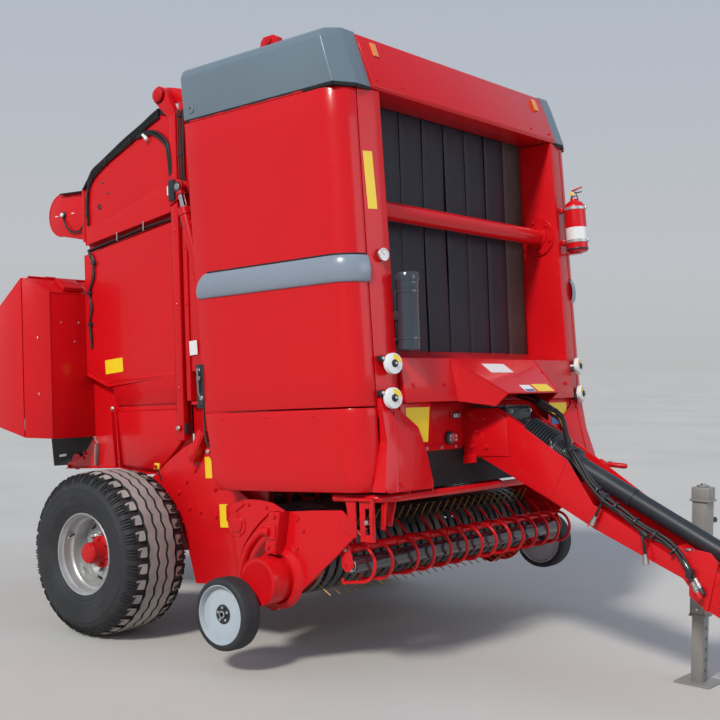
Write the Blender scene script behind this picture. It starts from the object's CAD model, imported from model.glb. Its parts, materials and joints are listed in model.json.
import bpy, bmesh, math, random, json
from mathutils import Matrix, Vector


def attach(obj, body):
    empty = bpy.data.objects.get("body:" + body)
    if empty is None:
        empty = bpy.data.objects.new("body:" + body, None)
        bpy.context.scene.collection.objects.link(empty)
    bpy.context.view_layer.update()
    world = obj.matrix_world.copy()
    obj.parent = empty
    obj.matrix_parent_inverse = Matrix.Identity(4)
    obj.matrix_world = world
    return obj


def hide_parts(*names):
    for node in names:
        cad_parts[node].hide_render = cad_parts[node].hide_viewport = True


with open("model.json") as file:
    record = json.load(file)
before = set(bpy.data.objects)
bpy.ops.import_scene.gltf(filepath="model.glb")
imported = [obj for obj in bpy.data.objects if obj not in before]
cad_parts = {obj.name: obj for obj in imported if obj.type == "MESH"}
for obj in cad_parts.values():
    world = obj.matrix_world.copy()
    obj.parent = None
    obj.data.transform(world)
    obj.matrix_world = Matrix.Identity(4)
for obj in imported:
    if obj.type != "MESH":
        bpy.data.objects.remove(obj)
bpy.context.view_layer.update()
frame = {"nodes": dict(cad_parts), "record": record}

random.seed(7)
TH = math.radians(4.2); ROW_Y = 1.0711; AZ = 0.437
# level machine (metres, axle at y 0, front at -y) to the parked machine
M = Matrix.Translation((0, ROW_Y, AZ)) @ Matrix.Rotation(-TH, 4, 'X') @ Matrix.Translation((0, 0, -AZ))
RAKE = math.tan(math.radians(2.15))
def W(p): return M @ Vector(p)

# ---------------------------------------------------------------- camera and light
cam_data = bpy.data.cameras.new("camera"); cam = bpy.data.objects.new("camera", cam_data)
bpy.context.scene.collection.objects.link(cam)
cam_data.sensor_width = 36.0; cam_data.lens = 58.418
cam_data.shift_x = 0.0008; cam_data.shift_y = 0.0014
cam_data.clip_start = 0.05; cam_data.clip_end = 200
rv = Vector((1.405, -0.6951, 0.6724)); R = Matrix.Rotation(rv.length, 3, rv.normalized())
Rcw = R.transposed() @ Matrix(((1, 0, 0), (0, -1, 0), (0, 0, -1)))
C = -(R.transposed() @ Vector((-0.657, 1.4711, 7.1255)))
cam.matrix_world = M @ Matrix.Translation(C) @ Rcw.to_4x4()
bpy.context.scene.camera = cam

def light(name, kind, energy, color, **k):
    d = bpy.data.lights.new(name, kind); d.energy = energy; d.color = color
    for a, v in k.items():
        if hasattr(d, a): setattr(d, a, v)
    o = bpy.data.objects.new(name, d); bpy.context.scene.collection.objects.link(o); return o
def aim(o, d): o.rotation_euler = Vector(d).to_track_quat('-Z', 'Y').to_euler()
sun = light("sun", 'SUN', 2.7, (1.0, 0.965, 0.90), angle=math.radians(9)); aim(sun, (0.78, 0.16, -0.66))
fill = light("fill", 'AREA', 160, (0.86, 0.92, 1.0), shape='RECTANGLE', size=7.0, size_y=4.0)
fill.location = (2.5, -9.5, 4.6); aim(fill, (-0.25, 0.93, -0.34))
world = bpy.data.worlds.new("sky"); bpy.context.scene.world = world; world.use_nodes = True
nt = world.node_tree; bg = nt.nodes["Background"]
tc = nt.nodes.new("ShaderNodeTexCoord"); sep = nt.nodes.new("ShaderNodeSeparateXYZ"); ramp = nt.nodes.new("ShaderNodeValToRGB")
nt.links.new(tc.outputs["Generated"], sep.inputs[0]); nt.links.new(sep.outputs["Z"], ramp.inputs[0]); nt.links.new(ramp.outputs[0], bg.inputs[0])
ramp.color_ramp.elements[0].position = 0.0; ramp.color_ramp.elements[0].color = (0.82, 0.83, 0.84, 1)
ramp.color_ramp.elements[1].position = 0.55; ramp.color_ramp.elements[1].color = (0.62, 0.74, 0.95, 1)
e = ramp.color_ramp.elements.new(0.08); e.color = (0.86, 0.89, 0.93, 1)
bg.inputs[1].default_value = 0.60
bpy.context.scene.view_settings.view_transform = 'Standard'

# ---------------------------------------------------------------- materials
def _mat(name):
    m = bpy.data.materials.new("look_" + name); m["kind"] = name; m.use_nodes = True
    return m, m.node_tree, m.node_tree.nodes["Principled BSDF"]
def _noise(nt, scale, detail=4, rough=.55, coord="Object", stretch=None):
    t = nt.nodes.new("ShaderNodeTexCoord"); n = nt.nodes.new("ShaderNodeTexNoise")
    n.inputs["Scale"].default_value = scale; n.inputs["Detail"].default_value = detail; n.inputs["Roughness"].default_value = rough
    if stretch:
        mp = nt.nodes.new("ShaderNodeMapping"); mp.inputs["Scale"].default_value = stretch
        nt.links.new(t.outputs[coord], mp.inputs[0]); nt.links.new(mp.outputs[0], n.inputs["Vector"])
    else: nt.links.new(t.outputs[coord], n.inputs["Vector"])
    return n
def _ramp(nt, src, stops):
    r = nt.nodes.new("ShaderNodeValToRGB"); nt.links.new(src, r.inputs[0])
    r.color_ramp.elements[0].position, r.color_ramp.elements[0].color = stops[0][0], stops[0][1]
    r.color_ramp.elements[1].position, r.color_ramp.elements[1].color = stops[-1][0], stops[-1][1]
    for p, c in stops[1:-1]:
        e = r.color_ramp.elements.new(p); e.color = c
    return r
def _range(nt, src, a, b, lo=0.3, hi=0.7):
    r = nt.nodes.new("ShaderNodeMapRange"); nt.links.new(src, r.inputs["Value"])
    r.inputs["From Min"].default_value = lo; r.inputs["From Max"].default_value = hi
    r.inputs["To Min"].default_value = a; r.inputs["To Max"].default_value = b; return r
def _bump(nt, pb, layers):
    prev = None
    for src, strength, dist in layers:
        b = nt.nodes.new("ShaderNodeBump"); b.inputs["Strength"].default_value = strength; b.inputs["Distance"].default_value = dist
        nt.links.new(src, b.inputs["Height"])
        if prev: nt.links.new(prev.outputs[0], b.inputs["Normal"])
        prev = b
    nt.links.new(prev.outputs[0], pb.inputs["Normal"])
def rgb(c, k=1.0): return (c[0] * k, c[1] * k, c[2] * k, 1)

def paint(name, col, rough=(.22, .36), coat=.6, coat_rough=.07, wave=.10, dust=0.0, peel=.06, spec=.5, metallic=0.0, var=.10):
    m, nt, pb = _mat(name)
    n1 = _noise(nt, 1.7, 5); n2 = _noise(nt, 38, 6, .65); n3 = _noise(nt, 520, 2); n4 = _noise(nt, 2.6, 2, .4)
    base = _ramp(nt, n1.outputs["Fac"], [(.30, rgb(col, 1 - var)), (.70, rgb(col, 1 + var * .6))])
    out = base.outputs[0]
    if dust:
        # dust that settles low on the machine and in patches
        tcn = nt.nodes.new("ShaderNodeTexCoord"); sp = nt.nodes.new("ShaderNodeSeparateXYZ"); nt.links.new(tcn.outputs["Object"], sp.inputs[0])
        hz = nt.nodes.new("ShaderNodeMapRange"); nt.links.new(sp.outputs["Z"], hz.inputs["Value"])
        hz.inputs["From Min"].default_value = 1.35; hz.inputs["From Max"].default_value = .15; hz.inputs["To Min"].default_value = .12; hz.inputs["To Max"].default_value = 1.0
        dn = _noise(nt, 7.5, 8, .72); dr = _range(nt, dn.outputs["Fac"], 0, dust, .42, .72)
        mu = nt.nodes.new("ShaderNodeMath"); mu.operation = 'MULTIPLY'; nt.links.new(hz.outputs[0], mu.inputs[0]); nt.links.new(dr.outputs[0], mu.inputs[1])
        mx = nt.nodes.new("ShaderNodeMix"); mx.data_type = 'RGBA'; nt.links.new(mu.outputs[0], mx.inputs[0]); nt.links.new(out, mx.inputs[6]); mx.inputs[7].default_value = (.36, .29, .21, 1)
        out = mx.outputs[2]
    nt.links.new(out, pb.inputs["Base Color"])
    rr = _range(nt, n2.outputs["Fac"], rough[0], rough[1]); nt.links.new(rr.outputs[0], pb.inputs["Roughness"])
    pb.inputs["Coat Weight"].default_value = coat; pb.inputs["Coat Roughness"].default_value = coat_rough
    pb.inputs["Specular IOR Level"].default_value = spec; pb.inputs["Metallic"].default_value = metallic
    _bump(nt, pb, [(n4.outputs["Fac"], wave, .012), (n3.outputs["Fac"], peel, .0006)])
    return m
RED_C = (.60, .0042, .0085)
RED = paint("red_paint", RED_C, rough=(.26, .34), coat=.26, coat_rough=.09, wave=.06, dust=.015, peel=.01, spec=.20, var=.03)
REDC = paint("red_paint_casting", (.52, .0042, .008), rough=(.3, .48), coat=.12, wave=.05, dust=.08, peel=.10, spec=.22, var=.06)
SLATE = paint("slate_plastic", (.135, .185, .225), rough=(.30, .42), coat=.25, coat_rough=.2, wave=.05, peel=.25, var=.05)
STRIPE = paint("slate_strip", (.225, .270, .335), rough=(.22, .32), coat=.35, coat_rough=.15, wave=.05, peel=.12, var=.05)
DARK = paint("dark_paint", (.022, .026, .034), rough=(.34, .5), coat=.15, wave=.04, dust=.25)
SILVER = paint("silver_paint", (.50, .52, .53), rough=(.30, .46), coat=.3, wave=.03, dust=.45, metallic=.55, peel=.12)
GREYP = paint("grey_jack_paint", (.20, .205, .20), rough=(.38, .55), coat=.1, wave=.04, dust=.6, peel=.3)
DISC = paint("gauge_disc_paint", (.40, .47, .53), rough=(.35, .5), coat=.2, wave=.03, dust=.4, peel=.2)
YELLOW = paint("yellow_film", (.86, .60, .012), rough=(.34, .42), coat=.2, wave=.02, peel=.02, var=.04)
WHITE = paint("white_film", (.74, .75, .75), rough=(.34, .42), coat=.2, wave=.02, peel=.02, var=.03)
BLUE = paint("blue_film", (.05, .11, .30), rough=(.34, .42), coat=.2, wave=.02, peel=.02, var=.04)
AMBER = paint("amber_reflector", (.85, .24, .015), rough=(.10, .16), coat=.9, wave=.0, peel=.5, var=.05)

def metal(name, col, rough=(.25, .45), scale=60, stretch=(1, 1, 1), dust=0.0):
    m, nt, pb = _mat(name); n = _noise(nt, scale, 6, .65, stretch=stretch); n2 = _noise(nt, 9, 6, .6)
    base = _ramp(nt, n2.outputs["Fac"], [(.3, rgb(col, .72)), (.7, rgb(col, 1.1))]); nt.links.new(base.outputs[0], pb.inputs["Base Color"])
    rr = _range(nt, n.outputs["Fac"], rough[0], rough[1]); nt.links.new(rr.outputs[0], pb.inputs["Roughness"])
    pb.inputs["Metallic"].default_value = 1.0; _bump(nt, pb, [(n.outputs["Fac"], .12, .0008)]); return m
STEEL = metal("worn_steel", (.42, .41, .39)); ZINC = metal("zinc_bolt", (.62, .62, .60), (.28, .5), 220); CHROME = metal("chrome_rod", (.78, .78, .80), (.05, .14), 300)
RUSTY = metal("oiled_steel", (.20, .17, .15), (.4, .65), 90)

def rubber(name, col, rough=(.55, .8), scale=90, strength=.25, dust=.3, groove=None):
    m, nt, pb = _mat(name); n = _noise(nt, scale, 6, .7); n2 = _noise(nt, 5, 7, .7)
    base = _ramp(nt, n2.outputs["Fac"], [(.34, rgb(col)), (.62, rgb(col, 1.5)), (.86, (col[0] * (1 - dust) + .20 * dust, col[1] * (1 - dust) + .165 * dust, col[2] * (1 - dust) + .13 * dust, 1))])
    nt.links.new(base.outputs[0], pb.inputs["Base Color"])
    rr = _range(nt, n.outputs["Fac"], rough[0], rough[1]); nt.links.new(rr.outputs[0], pb.inputs["Roughness"])
    pb.inputs["Specular IOR Level"].default_value = .38
    layers = [(n.outputs["Fac"], strength, .001)]
    if groove:
        tcn = nt.nodes.new("ShaderNodeTexCoord"); w = nt.nodes.new("ShaderNodeTexWave"); w.wave_type = 'BANDS'; w.bands_direction = groove[0]
        w.inputs["Scale"].default_value = groove[1]; w.inputs["Distortion"].default_value = groove[2]; w.inputs["Detail"].default_value = 1
        nt.links.new(tcn.outputs["Object"], w.inputs["Vector"]); layers.insert(0, (w.outputs["Fac"], .14, .003))
    _bump(nt, pb, layers); return m
TYRE = rubber("tyre_rubber", (.020, .021, .023), dust=.5); BELT = rubber("belt_rubber", (.0085, .0085, .0155), (.42, .62), 240, .35, .08, groove=('Z', 26, 3.5))
HOSE = rubber("hose_rubber", (.012, .012, .013), (.35, .5), 300, .15, .2); SEAL = rubber("seal_rubber", (.010, .010, .011), dust=.1)
BLACK = rubber("black_plastic", (.016, .019, .024), (.33, .5), 200, .12, .2)
TREAD = rubber("tread_dust", (.262, .240, .226), (.7, .9), 60, .35, .5)
CANI = paint("canister_plastic", (.030, .040, .056), rough=(.18, .28), coat=.45, coat_rough=.12, wave=.04, peel=.08, var=.05)
BELTB = rubber("belt_brown", (.035, .024, .020), (.5, .7), 200, .35, .35, groove=('Z', 26, 3.5))
def tines():
    m, nt, pb = _mat("tine_wire"); n = _noise(nt, 22, 5, .7)
    base = _ramp(nt, n.outputs["Fac"], [(.35, (.34, .20, .035, 1)), (.6, (.46, .30, .06, 1)), (.8, (.20, .16, .13, 1))]); nt.links.new(base.outputs[0], pb.inputs["Base Color"])
    rr = _range(nt, n.outputs["Fac"], .3, .5); nt.links.new(rr.outputs[0], pb.inputs["Roughness"]); pb.inputs["Metallic"].default_value = .35
    _bump(nt, pb, [(n.outputs["Fac"], .1, .0005)]); return m
TINE = tines()

# ---------------------------------------------------------------- mesh building
def fillet(pts, rad, seg=6):
    pts = [Vector(p) for p in pts]; out = [pts[0]]
    for a, b, c in zip(pts, pts[1:], pts[2:]):
        u, v = (a - b), (c - b); lu, lv = u.length, v.length
        if lu < 1e-6 or lv < 1e-6: continue
        u /= lu; v /= lv; ang = u.angle(v)
        if ang > math.radians(176): out.append(b); continue
        t = min(rad / math.tan(ang / 2), lu * .48, lv * .48); p, q = b + u * t, b + v * t
        for i in range(seg + 1):
            k = i / seg; out.append(p.lerp(b, k).lerp(b.lerp(q, k), k))
    out.append(pts[-1]); return out
def spline(pts, per=8):
    pts = [Vector(p) for p in pts]; P = [pts[0] * 2 - pts[1]] + pts + [pts[-1] * 2 - pts[-2]]; out = []
    for i in range(1, len(P) - 2):
        p0, p1, p2, p3 = P[i - 1:i + 3]
        for k in range(per):
            t = k / per; out.append(.5 * ((2 * p1) + (p2 - p0) * t + (2 * p0 - 5 * p1 + 4 * p2 - p3) * t * t + (3 * p1 - p0 - 3 * p2 + p3) * t ** 3))
    out.append(pts[-1]); return out
class Part:
    def __init__(self, name, body, rep=(), s=1):
        self.name, self.body, self.rep, self.s, self.bm, self.mats = name, body, rep, s, bmesh.new(), []
    def _add(self, bm, mat, bevel=0, seg=2, ang=28, closed=True):
        if self.s < 0: bm.transform(Matrix.Diagonal((-1, 1, 1, 1)))
        if closed: bmesh.ops.recalc_face_normals(bm, faces=bm.faces)
        elif self.s < 0: bmesh.ops.reverse_faces(bm, faces=bm.faces)
        if bevel:
            es = [e for e in bm.edges if len(e.link_faces) == 2 and e.calc_face_angle(0) > math.radians(ang)]
            if es: bmesh.ops.bevel(bm, geom=es, offset=bevel, segments=seg, profile=.5, affect='EDGES', clamp_overlap=True)
        if mat not in self.mats: self.mats.append(mat)
        k = self.mats.index(mat)
        for f in bm.faces: f.material_index = k
        me = bpy.data.meshes.new("t"); bm.to_mesh(me); bm.free(); self.bm.from_mesh(me); bpy.data.meshes.remove(me); return self
    def solid(self, verts, faces, mat, bevel=0, **k):
        bm = bmesh.new(); vs = [bm.verts.new(v) for v in verts]
        for f in faces: bm.faces.new([vs[i] for i in f])
        return self._add(bm, mat, bevel, **k)
    def extr(self, pts, vec, mat, bevel=.002, **k):
        pts = [Vector(p) for p in pts]; n = len(pts); v = Vector(vec)
        return self.solid(pts + [p + v for p in pts], [list(range(n))[::-1], list(range(n, 2 * n))] + [[i, (i + 1) % n, (i + 1) % n + n, i + n] for i in range(n)], mat, bevel, **k)
    def px(self, pts, x0, x1, mat, bevel=.002, **k): return self.extr([(x0, y, z) for y, z in pts], (x1 - x0, 0, 0), mat, bevel, **k)
    def py(self, pts, y0, y1, mat, bevel=.002, **k): return self.extr([(x, y0, z) for x, z in pts], (0, y1 - y0, 0), mat, bevel, **k)
    def pz(self, pts, z0, z1, mat, bevel=.002, **k): return self.extr([(x, y, z0) for x, y in pts], (0, 0, z1 - z0), mat, bevel, **k)
    def box(self, x0, x1, y0, y1, z0, z1, mat, bevel=.002, **k): return self.px([(y0, z0), (y1, z0), (y1, z1), (y0, z1)], x0, x1, mat, bevel, **k)
    def frame(self, p, d, up=(0, 0, 1)):
        d = Vector(d).normalized(); u = Vector(up)
        if abs(d.dot(u)) > .97: u = Vector((0, 1, 0))
        a = u.cross(d).normalized(); b = d.cross(a); return Vector(p), a, b, d
    def lathe(self, p, d, prof, mat, n=32, bevel=0, loop=False, a0=0, a1=360, **k):
        """prof is [(r, h)]; r 0 closes to a point; loop joins the last to the first"""
        o, a, b, d = self.frame(p, d); bm = bmesh.new(); rings = []; full = abs(a1 - a0) >= 360; m = n if full else n + 1
        for r, h in prof:
            if r < 1e-6: rings.append([bm.verts.new(o + d * h)]); continue
            rings.append([bm.verts.new(o + d * h + (a * math.cos(t) + b * math.sin(t)) * r) for t in [math.radians(a0 + (a1 - a0) * i / n) for i in range(m)]])
        pr = list(zip(rings, rings[1:])) + ([(rings[-1], rings[0])] if loop else [])
        for A, B in pr:
            for i in range(n):
                j = (i + 1) % m
                if len(A) == 1 and len(B) == 1: continue
                if len(A) == 1: bm.faces.new((A[0], B[i], B[j]))
                elif len(B) == 1: bm.faces.new((A[i], A[j], B[0]))
                else: bm.faces.new((A[i], A[j], B[j], B[i]))
        if not loop:
            for rg in (rings[0], rings[-1]):
                if len(rg) > 1 and full: bm.faces.new(rg)
        return self._add(bm, mat, bevel, **k)
    def cyl(self, p, q, r, mat, r2=None, n=24, bevel=.0015, **k):
        p, q = Vector(p), Vector(q); L = (q - p).length; c = min(bevel, r * .3) if bevel else 0; r2 = r if r2 is None else r2
        pr = [(r - c, 0), (r, c), (r2, L - c), (r2 - c, L)] if c else [(r, 0), (r2, L)]
        return self.lathe(p, q - p, pr, mat, n=n, **k)
    def rod(self, x0, x1, c, r, mat, **k): return self.cyl((x0, c[0], c[1]), (x1, c[0], c[1]), r, mat, **k)
    def ring(self, x0, x1, c, r, ri, mat, n=36, b=.0015): return self.lathe((x0, c[0], c[1]), (x1 - x0, 0, 0), [(ri, 0), (r - b, 0), (r, b), (r, abs(x1 - x0) - b), (r - b, abs(x1 - x0)), (ri, abs(x1 - x0))], mat, n=n, loop=True)
    def tube(self, pts, r, mat, n=12, closed=False, caps=True, r_of=None):
        pts = [Vector(p) for p in pts]; N = len(pts); bm = bmesh.new(); rings = []
        T = []
        for i in range(N):
            a = pts[(i - 1) % N] if closed else pts[max(i - 1, 0)]; b = pts[(i + 1) % N] if closed else pts[min(i + 1, N - 1)]
            T.append((b - a).normalized())
        u = T[0].orthogonal().normalized()
        for i in range(N):
            if i:
                q = T[i - 1].rotation_difference(T[i]); u = (q @ u); u = (u - T[i] * u.dot(T[i])).normalized()
            v = T[i].cross(u); rr = r_of(i / (N - 1)) * r if r_of else r
            rings.append([bm.verts.new(pts[i] + (u * math.cos(2 * math.pi * k / n) + v * math.sin(2 * math.pi * k / n)) * rr) for k in range(n)])
        pr = list(zip(rings, rings[1:])) + ([(rings[-1], rings[0])] if closed else [])
        for A, B in pr:
            for i in range(n): bm.faces.new((A[i], A[(i + 1) % n], B[(i + 1) % n], B[i]))
        if caps and not closed: bm.faces.new(rings[0][::-1]); bm.faces.new(rings[-1])
        return self._add(bm, mat)
    def bolt(self, p, d, mat=None, af=.019, h=.008, w=True, n=6):
        mat = mat or ZINC; p, d = Vector(p), Vector(d).normalized()
        if w: self.cyl(p, p + d * .002, af * .72, mat, n=16, bevel=0)
        r = af * .577; self.lathe(p + d * (.002 if w else 0), d, [(r, 0), (r, h * .8), (r * .86, h)], mat, n=n); return self
    def dome(self, p, d, r, h, mat, n=20): return self.lathe(p, d, [(r, 0), (r * .96, h * .35), (r * .75, h * .75), (r * .4, h * .95), (0, h)], mat, n=n)
    def grid(self, P, mat, thick=0, skip=None, bevel=0, closed_u=False, flip=False):
        bm = bmesh.new(); V = [[bm.verts.new(p) for p in row] for row in P]; nr, nc = len(P), len(P[0])
        for i in range(nr - 1):
            for j in range(nc if closed_u else nc - 1):
                if skip and skip(i, j): continue
                k = (j + 1) % nc; q = [V[i][j], V[i][k], V[i + 1][k], V[i + 1][j]]
                if len({tuple(v.co) for v in q}) < 3: continue
                bm.faces.new(q[::-1] if flip else q)
        bmesh.ops.delete(bm, geom=[v for v in bm.verts if not v.link_faces], context='VERTS')
        if thick:
            bmesh.ops.recalc_face_normals(bm, faces=bm.faces); bmesh.ops.solidify(bm, geom=bm.faces[:], thickness=thick)
        return self._add(bm, mat, bevel)
    def done(self, sharp=33):
        me = bpy.data.meshes.new(self.name); self.bm.transform(M); self.bm.to_mesh(me); self.bm.free()
        for p in me.polygons: p.use_smooth = True
        me.set_sharp_from_angle(angle=math.radians(sharp))
        ob = bpy.data.objects.new(self.name, me); bpy.context.scene.collection.objects.link(ob)
        for m in self.mats: me.materials.append(m)
        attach(ob, self.body)
        if self.rep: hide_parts(*self.rep)
        return ob
SIDES = ((-1, "right"), (1, "left"))

# ---------------------------------------------------------------- floor
def floor():
    bm = bmesh.new(); n = 24; S = 400.0
    V = [[bm.verts.new((-S + 2 * S * i / n, -S + 2 * S * j / n, 0)) for i in range(n + 1)] for j in range(n + 1)]
    for j in range(n):
        for i in range(n): bm.faces.new((V[j][i], V[j][i + 1], V[j + 1][i + 1], V[j + 1][i]))
    me = bpy.data.meshes.new("floor"); bm.to_mesh(me); bm.free(); ob = bpy.data.objects.new("floor", me); bpy.context.scene.collection.objects.link(ob)
    m, nt, pb = _mat("pale_floor"); a = _noise(nt, .35, 6, .6); b = _noise(nt, 55, 6, .7)
    r = _ramp(nt, a.outputs["Fac"], [(.3, (.50, .485, .455, 1)), (.7, (.56, .545, .515, 1))]); nt.links.new(r.outputs[0], pb.inputs["Base Color"])
    rr = _range(nt, b.outputs["Fac"], .78, .92); nt.links.new(rr.outputs[0], pb.inputs["Roughness"]); pb.inputs["Specular IOR Level"].default_value = .2
    _bump(nt, pb, [(b.outputs["Fac"], .18, .004)]); me.materials.append(m)
floor()

# ---------------------------------------------------------------- shared shapes
def lerp(a, b, t): return a + (b - a) * t
def interp(tab, z):
    tab = sorted(tab)
    if z <= tab[0][0]: return tab[0][1]
    for (a, u), (b, v) in zip(tab, tab[1:]):
        if z <= b: return lerp(u, v, (z - a) / (b - a))
    return tab[-1][1]
REAR = [(2.657, -.683), (1.73, -.740), (1.16, -.774), (.773, -.837)]
def corner_y(z): return -1.592 + (z - 2.648) * RAKE
def shield_pt(z, kind, v, off):
    """a point of the side shield skin: kind 's' gives y along the side, 'a' the corner angle, 'f' x along the front"""
    cy = corner_y(z)
    if kind == 's': return Vector((1.061 + off, v, z))
    if kind == 'a': t = math.radians(v); return Vector((.931 + (.13 + off) * math.cos(t), cy - (.13 + off) * math.sin(t), z))
    return Vector((v, cy - .13 - off, z))
def shield_grid(z0, z1, front=87.2, ext=None, off=lambda t, u: 0.0, hem=.022, rows=7, r0=None, ncol=7, e=.0035):
    """grid of the shield between two heights with rolled hems; off(t, u) moves the skin outwards"""
    zs = [(z0, -hem), (z0, -e), (z0 + .3 * e, -.3 * e), (z0 + e, 0)] + [(lerp(z0 + e, z1 - e, (i + 1) / (rows + 1)), 0) for i in range(rows)] + [(z1 - e, 0), (z1 - .3 * e, -.3 * e), (z1, -e), (z1, -hem)]
    P = []
    for z, oz in zs:
        t = (z - z0) / (z1 - z0); yr = (r0 or (lambda z: interp(REAR, z)))(z); ya = corner_y(z); row = []
        cols = [('s', yr, -hem), ('s', yr, -e), ('s', yr - .3 * e, -.3 * e), ('s', yr - e, 0)] + [('s', lerp(yr - e, ya, (i + 1) / (ncol + 1)), 0) for i in range(ncol)]
        cols += [('a', front * i / 14, 0) for i in range(15)] if not ext else [('a', 90 * i / 14, 0) for i in range(15)] + [('f', lerp(.931, ext, k), 0) for k in (.35, .7, 1)]
        k, v, _ = cols[-1]; cols[-1] = (k, v, -.3 * e); cols.append((k, v, -e)); cols.append((k, v, -hem))
        n = len(cols)
        for c, (k, v, oc) in enumerate(cols):
            u = c / (n - 1); row.append(shield_pt(z, k, v, off(t, u) + min(oz, oc)))
        P.append(row)
    return P
def post(x, z, o=0.0, up=0.0):
    """a place on the face of the left post, o metres out of it"""
    r = math.radians(2.15); zl = (z - 1.18) / math.cos(r); yl = -.057 + (abs(x) - .8) * 25 / 130
    n = Vector((.18886, -.98200 * math.cos(r), .98200 * math.sin(r)))
    return Vector((x, -1.744 + yl * math.cos(r) + zl * math.sin(r), 1.18 - yl * math.sin(r) + zl * math.cos(r))) + n * o
PN = Vector((.18886, -.98200 * math.cos(math.radians(2.15)), .98200 * math.sin(math.radians(2.15))))
PU = Vector((0, math.sin(math.radians(2.15)), math.cos(math.radians(2.15))))
PA = PU.cross(PN) * -1.0
def label(pt, c, n, up, w, h, mat, t=.0012):
    """a thin film on a face: centre, face normal, up direction, width and height"""
    c, n = Vector(c), Vector(n).normalized(); up = (Vector(up) - n * n.dot(Vector(up))).normalized(); a = up.cross(n)
    q = [c - a * w / 2 - up * h / 2, c + a * w / 2 - up * h / 2, c + a * w / 2 + up * h / 2, c - a * w / 2 + up * h / 2]
    pt.extr([p + n * .0004 for p in q], n * t, mat, bevel=0)

# ---------------------------------------------------------------- side shields, caps, header
for s, side in SIDES:
    p = Part("side_shield_panel_" + side, "side_shield_" + side, ("side_shield_" + side,), s)
    p.grid(shield_grid(1.163, 2.640, rows=9), RED, thick=.0022)
    # hinge bar, its knuckles, inner frame tubes and the gas spring tab
    p.cyl((1.056, -1.50, 2.645), (1.056, -.72, 2.645), .0055, REDC, n=12)
    for y in (-1.46, -1.30, -1.12, -.94, -.76): p.cyl((1.056, y - .03, 2.645), (1.056, y + .03, 2.645), .0078, REDC, n=14)
    for z in (1.30, 1.96, 2.52):
        p.tube([(1.035, -.80, z), (1.035, -1.56, z)], .013, RED, n=10)
    for y in (-.86, -1.50): p.tube([(1.035, y, 1.20), (1.035, y, 2.60)], .013, RED, n=10)
    p.px([(-.90, 1.90), (-.96, 1.90), (-.96, 2.02), (-.90, 2.02)], 1.022, 1.030, REDC); p.cyl((1.004, -.93, 1.96), (1.03, -.93, 1.96), .008, ZINC)
    p.done()
    # convex strip round the shield and onto the post
    def bulge(t, u): return .004 + .017 * max(0.0, math.sin(math.pi * min(1, max(0, t)))) ** .55
    q = Part("side_shield_strip_" + side, "side_shield_" + side, (), s)
    q.grid(shield_grid(1.733, 1.858, off=bulge, hem=.006, rows=11, r0=lambda z: -.752 - .055 * ((z - 1.733) / .125) ** 2.6, e=.003), STRIPE, thick=.002)
    q.grid(shield_grid(1.8585, 1.8665, off=lambda t, u: .0016, hem=.003, rows=1, r0=lambda z: -.82, e=.001), SEAL, thick=.001)
    q.done()
    # catch and handle in the rear edge
    q = Part("shield_catch_" + side, "side_shield_" + side, (), s)
    q.box(1.0605, 1.0630, -.775, -.720, 1.185, 1.405, BLACK, bevel=.001)
    q.px([(-.727, 1.20), (-.770, 1.20), (-.770, 1.255), (-.750, 1.275), (-.750, 1.395), (-.727, 1.395)], 1.063, 1.0665, DARK, bevel=.001)
    q.tube(fillet([(1.068, -.742, 1.385), (1.076, -.742, 1.378), (1.076, -.747, 1.262), (1.068, -.752, 1.240)], .01, 4), .0055, STEEL, n=10)
    q.cyl((1.063, -.760, 1.235), (1.073, -.760, 1.235), .012, ZINC, n=20); q.cyl((1.063, -.744, 1.375), (1.072, -.744, 1.375), .010, ZINC, n=20)
    q.px([(-.735, 1.325), (-.760, 1.325), (-.760, 1.345), (-.735, 1.345)], 1.066, 1.078, STEEL, bevel=.0015)
    q.done()
    # fixed lower shield, curved in at its foot
    q = Part("lower_shield_" + side, "frame", (), s)
    def tuck(t, u): return -.016 * max(0, 1 - t * 5) ** 2
    q.grid(shield_grid(.773, 1.1555, off=tuck, rows=10, hem=.020), RED, thick=.0022)
    for y in (-.90, -1.20, -1.50): q.bolt((1.061, y, 1.128), (1, 0, 0), RED, af=.013, h=.004, w=False)
    q.done()
    # roof cap
    q = Part("roof_cap_shell_" + side, "frame", (), s)
    hp = lambda z: -1.744 + (z - 2.657) * .3345
    L = []
    for z, xo, xf, yr, yb in ((2.657, 1.063, .955, -.683, -1.687), (2.885, 1.058, .952, -.6605, -1.6185), (2.918, 1.040, .948, -.6575, -1.6085), (2.935, 1.015, .944, -.656, -1.603), (2.943, .985, .940, -.655, -1.600)):
        L.append([(.845, yr, z), (xo, yr, z), (xo, yb, z), (xf, max(hp(z), -1.75), z), (.845, hp(z), z)])
    vs = [v for r in L for v in r]; n = 5; fc = [list(range(5))[::-1], list(range(20, 25))]
    for i in range(4):
        for j in range(5): a = i * 5 + j; b = i * 5 + (j + 1) % 5; fc.append([a, b, b + 5, a + 5])
    q.solid(vs, fc, SLATE, bevel=.009, seg=3, ang=7)
    q.ring(1.0605, 1.0665, (-.738, 2.704), .021, .013, SLATE); q.cyl((1.058, -.738, 2.704), (1.0635, -.738, 2.704), .0135, ZINC, n=24)
    q.box(1.0630, 1.0645, -.740, -.736, 2.694, 2.714, DARK, bevel=0)
    # seal under the cap
    ol = [(1.052, -.700), (1.052, -1.680), (.950, -1.733), (.850, -1.733)]
    for a, b in zip(ol, ol[1:]):
        a, b = Vector((a[0], a[1], 2.649)), Vector((b[0], b[1], 2.649)); q.tube([a, b], .0085, SEAL, n=10)
    q.done(sharp=28)
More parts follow.
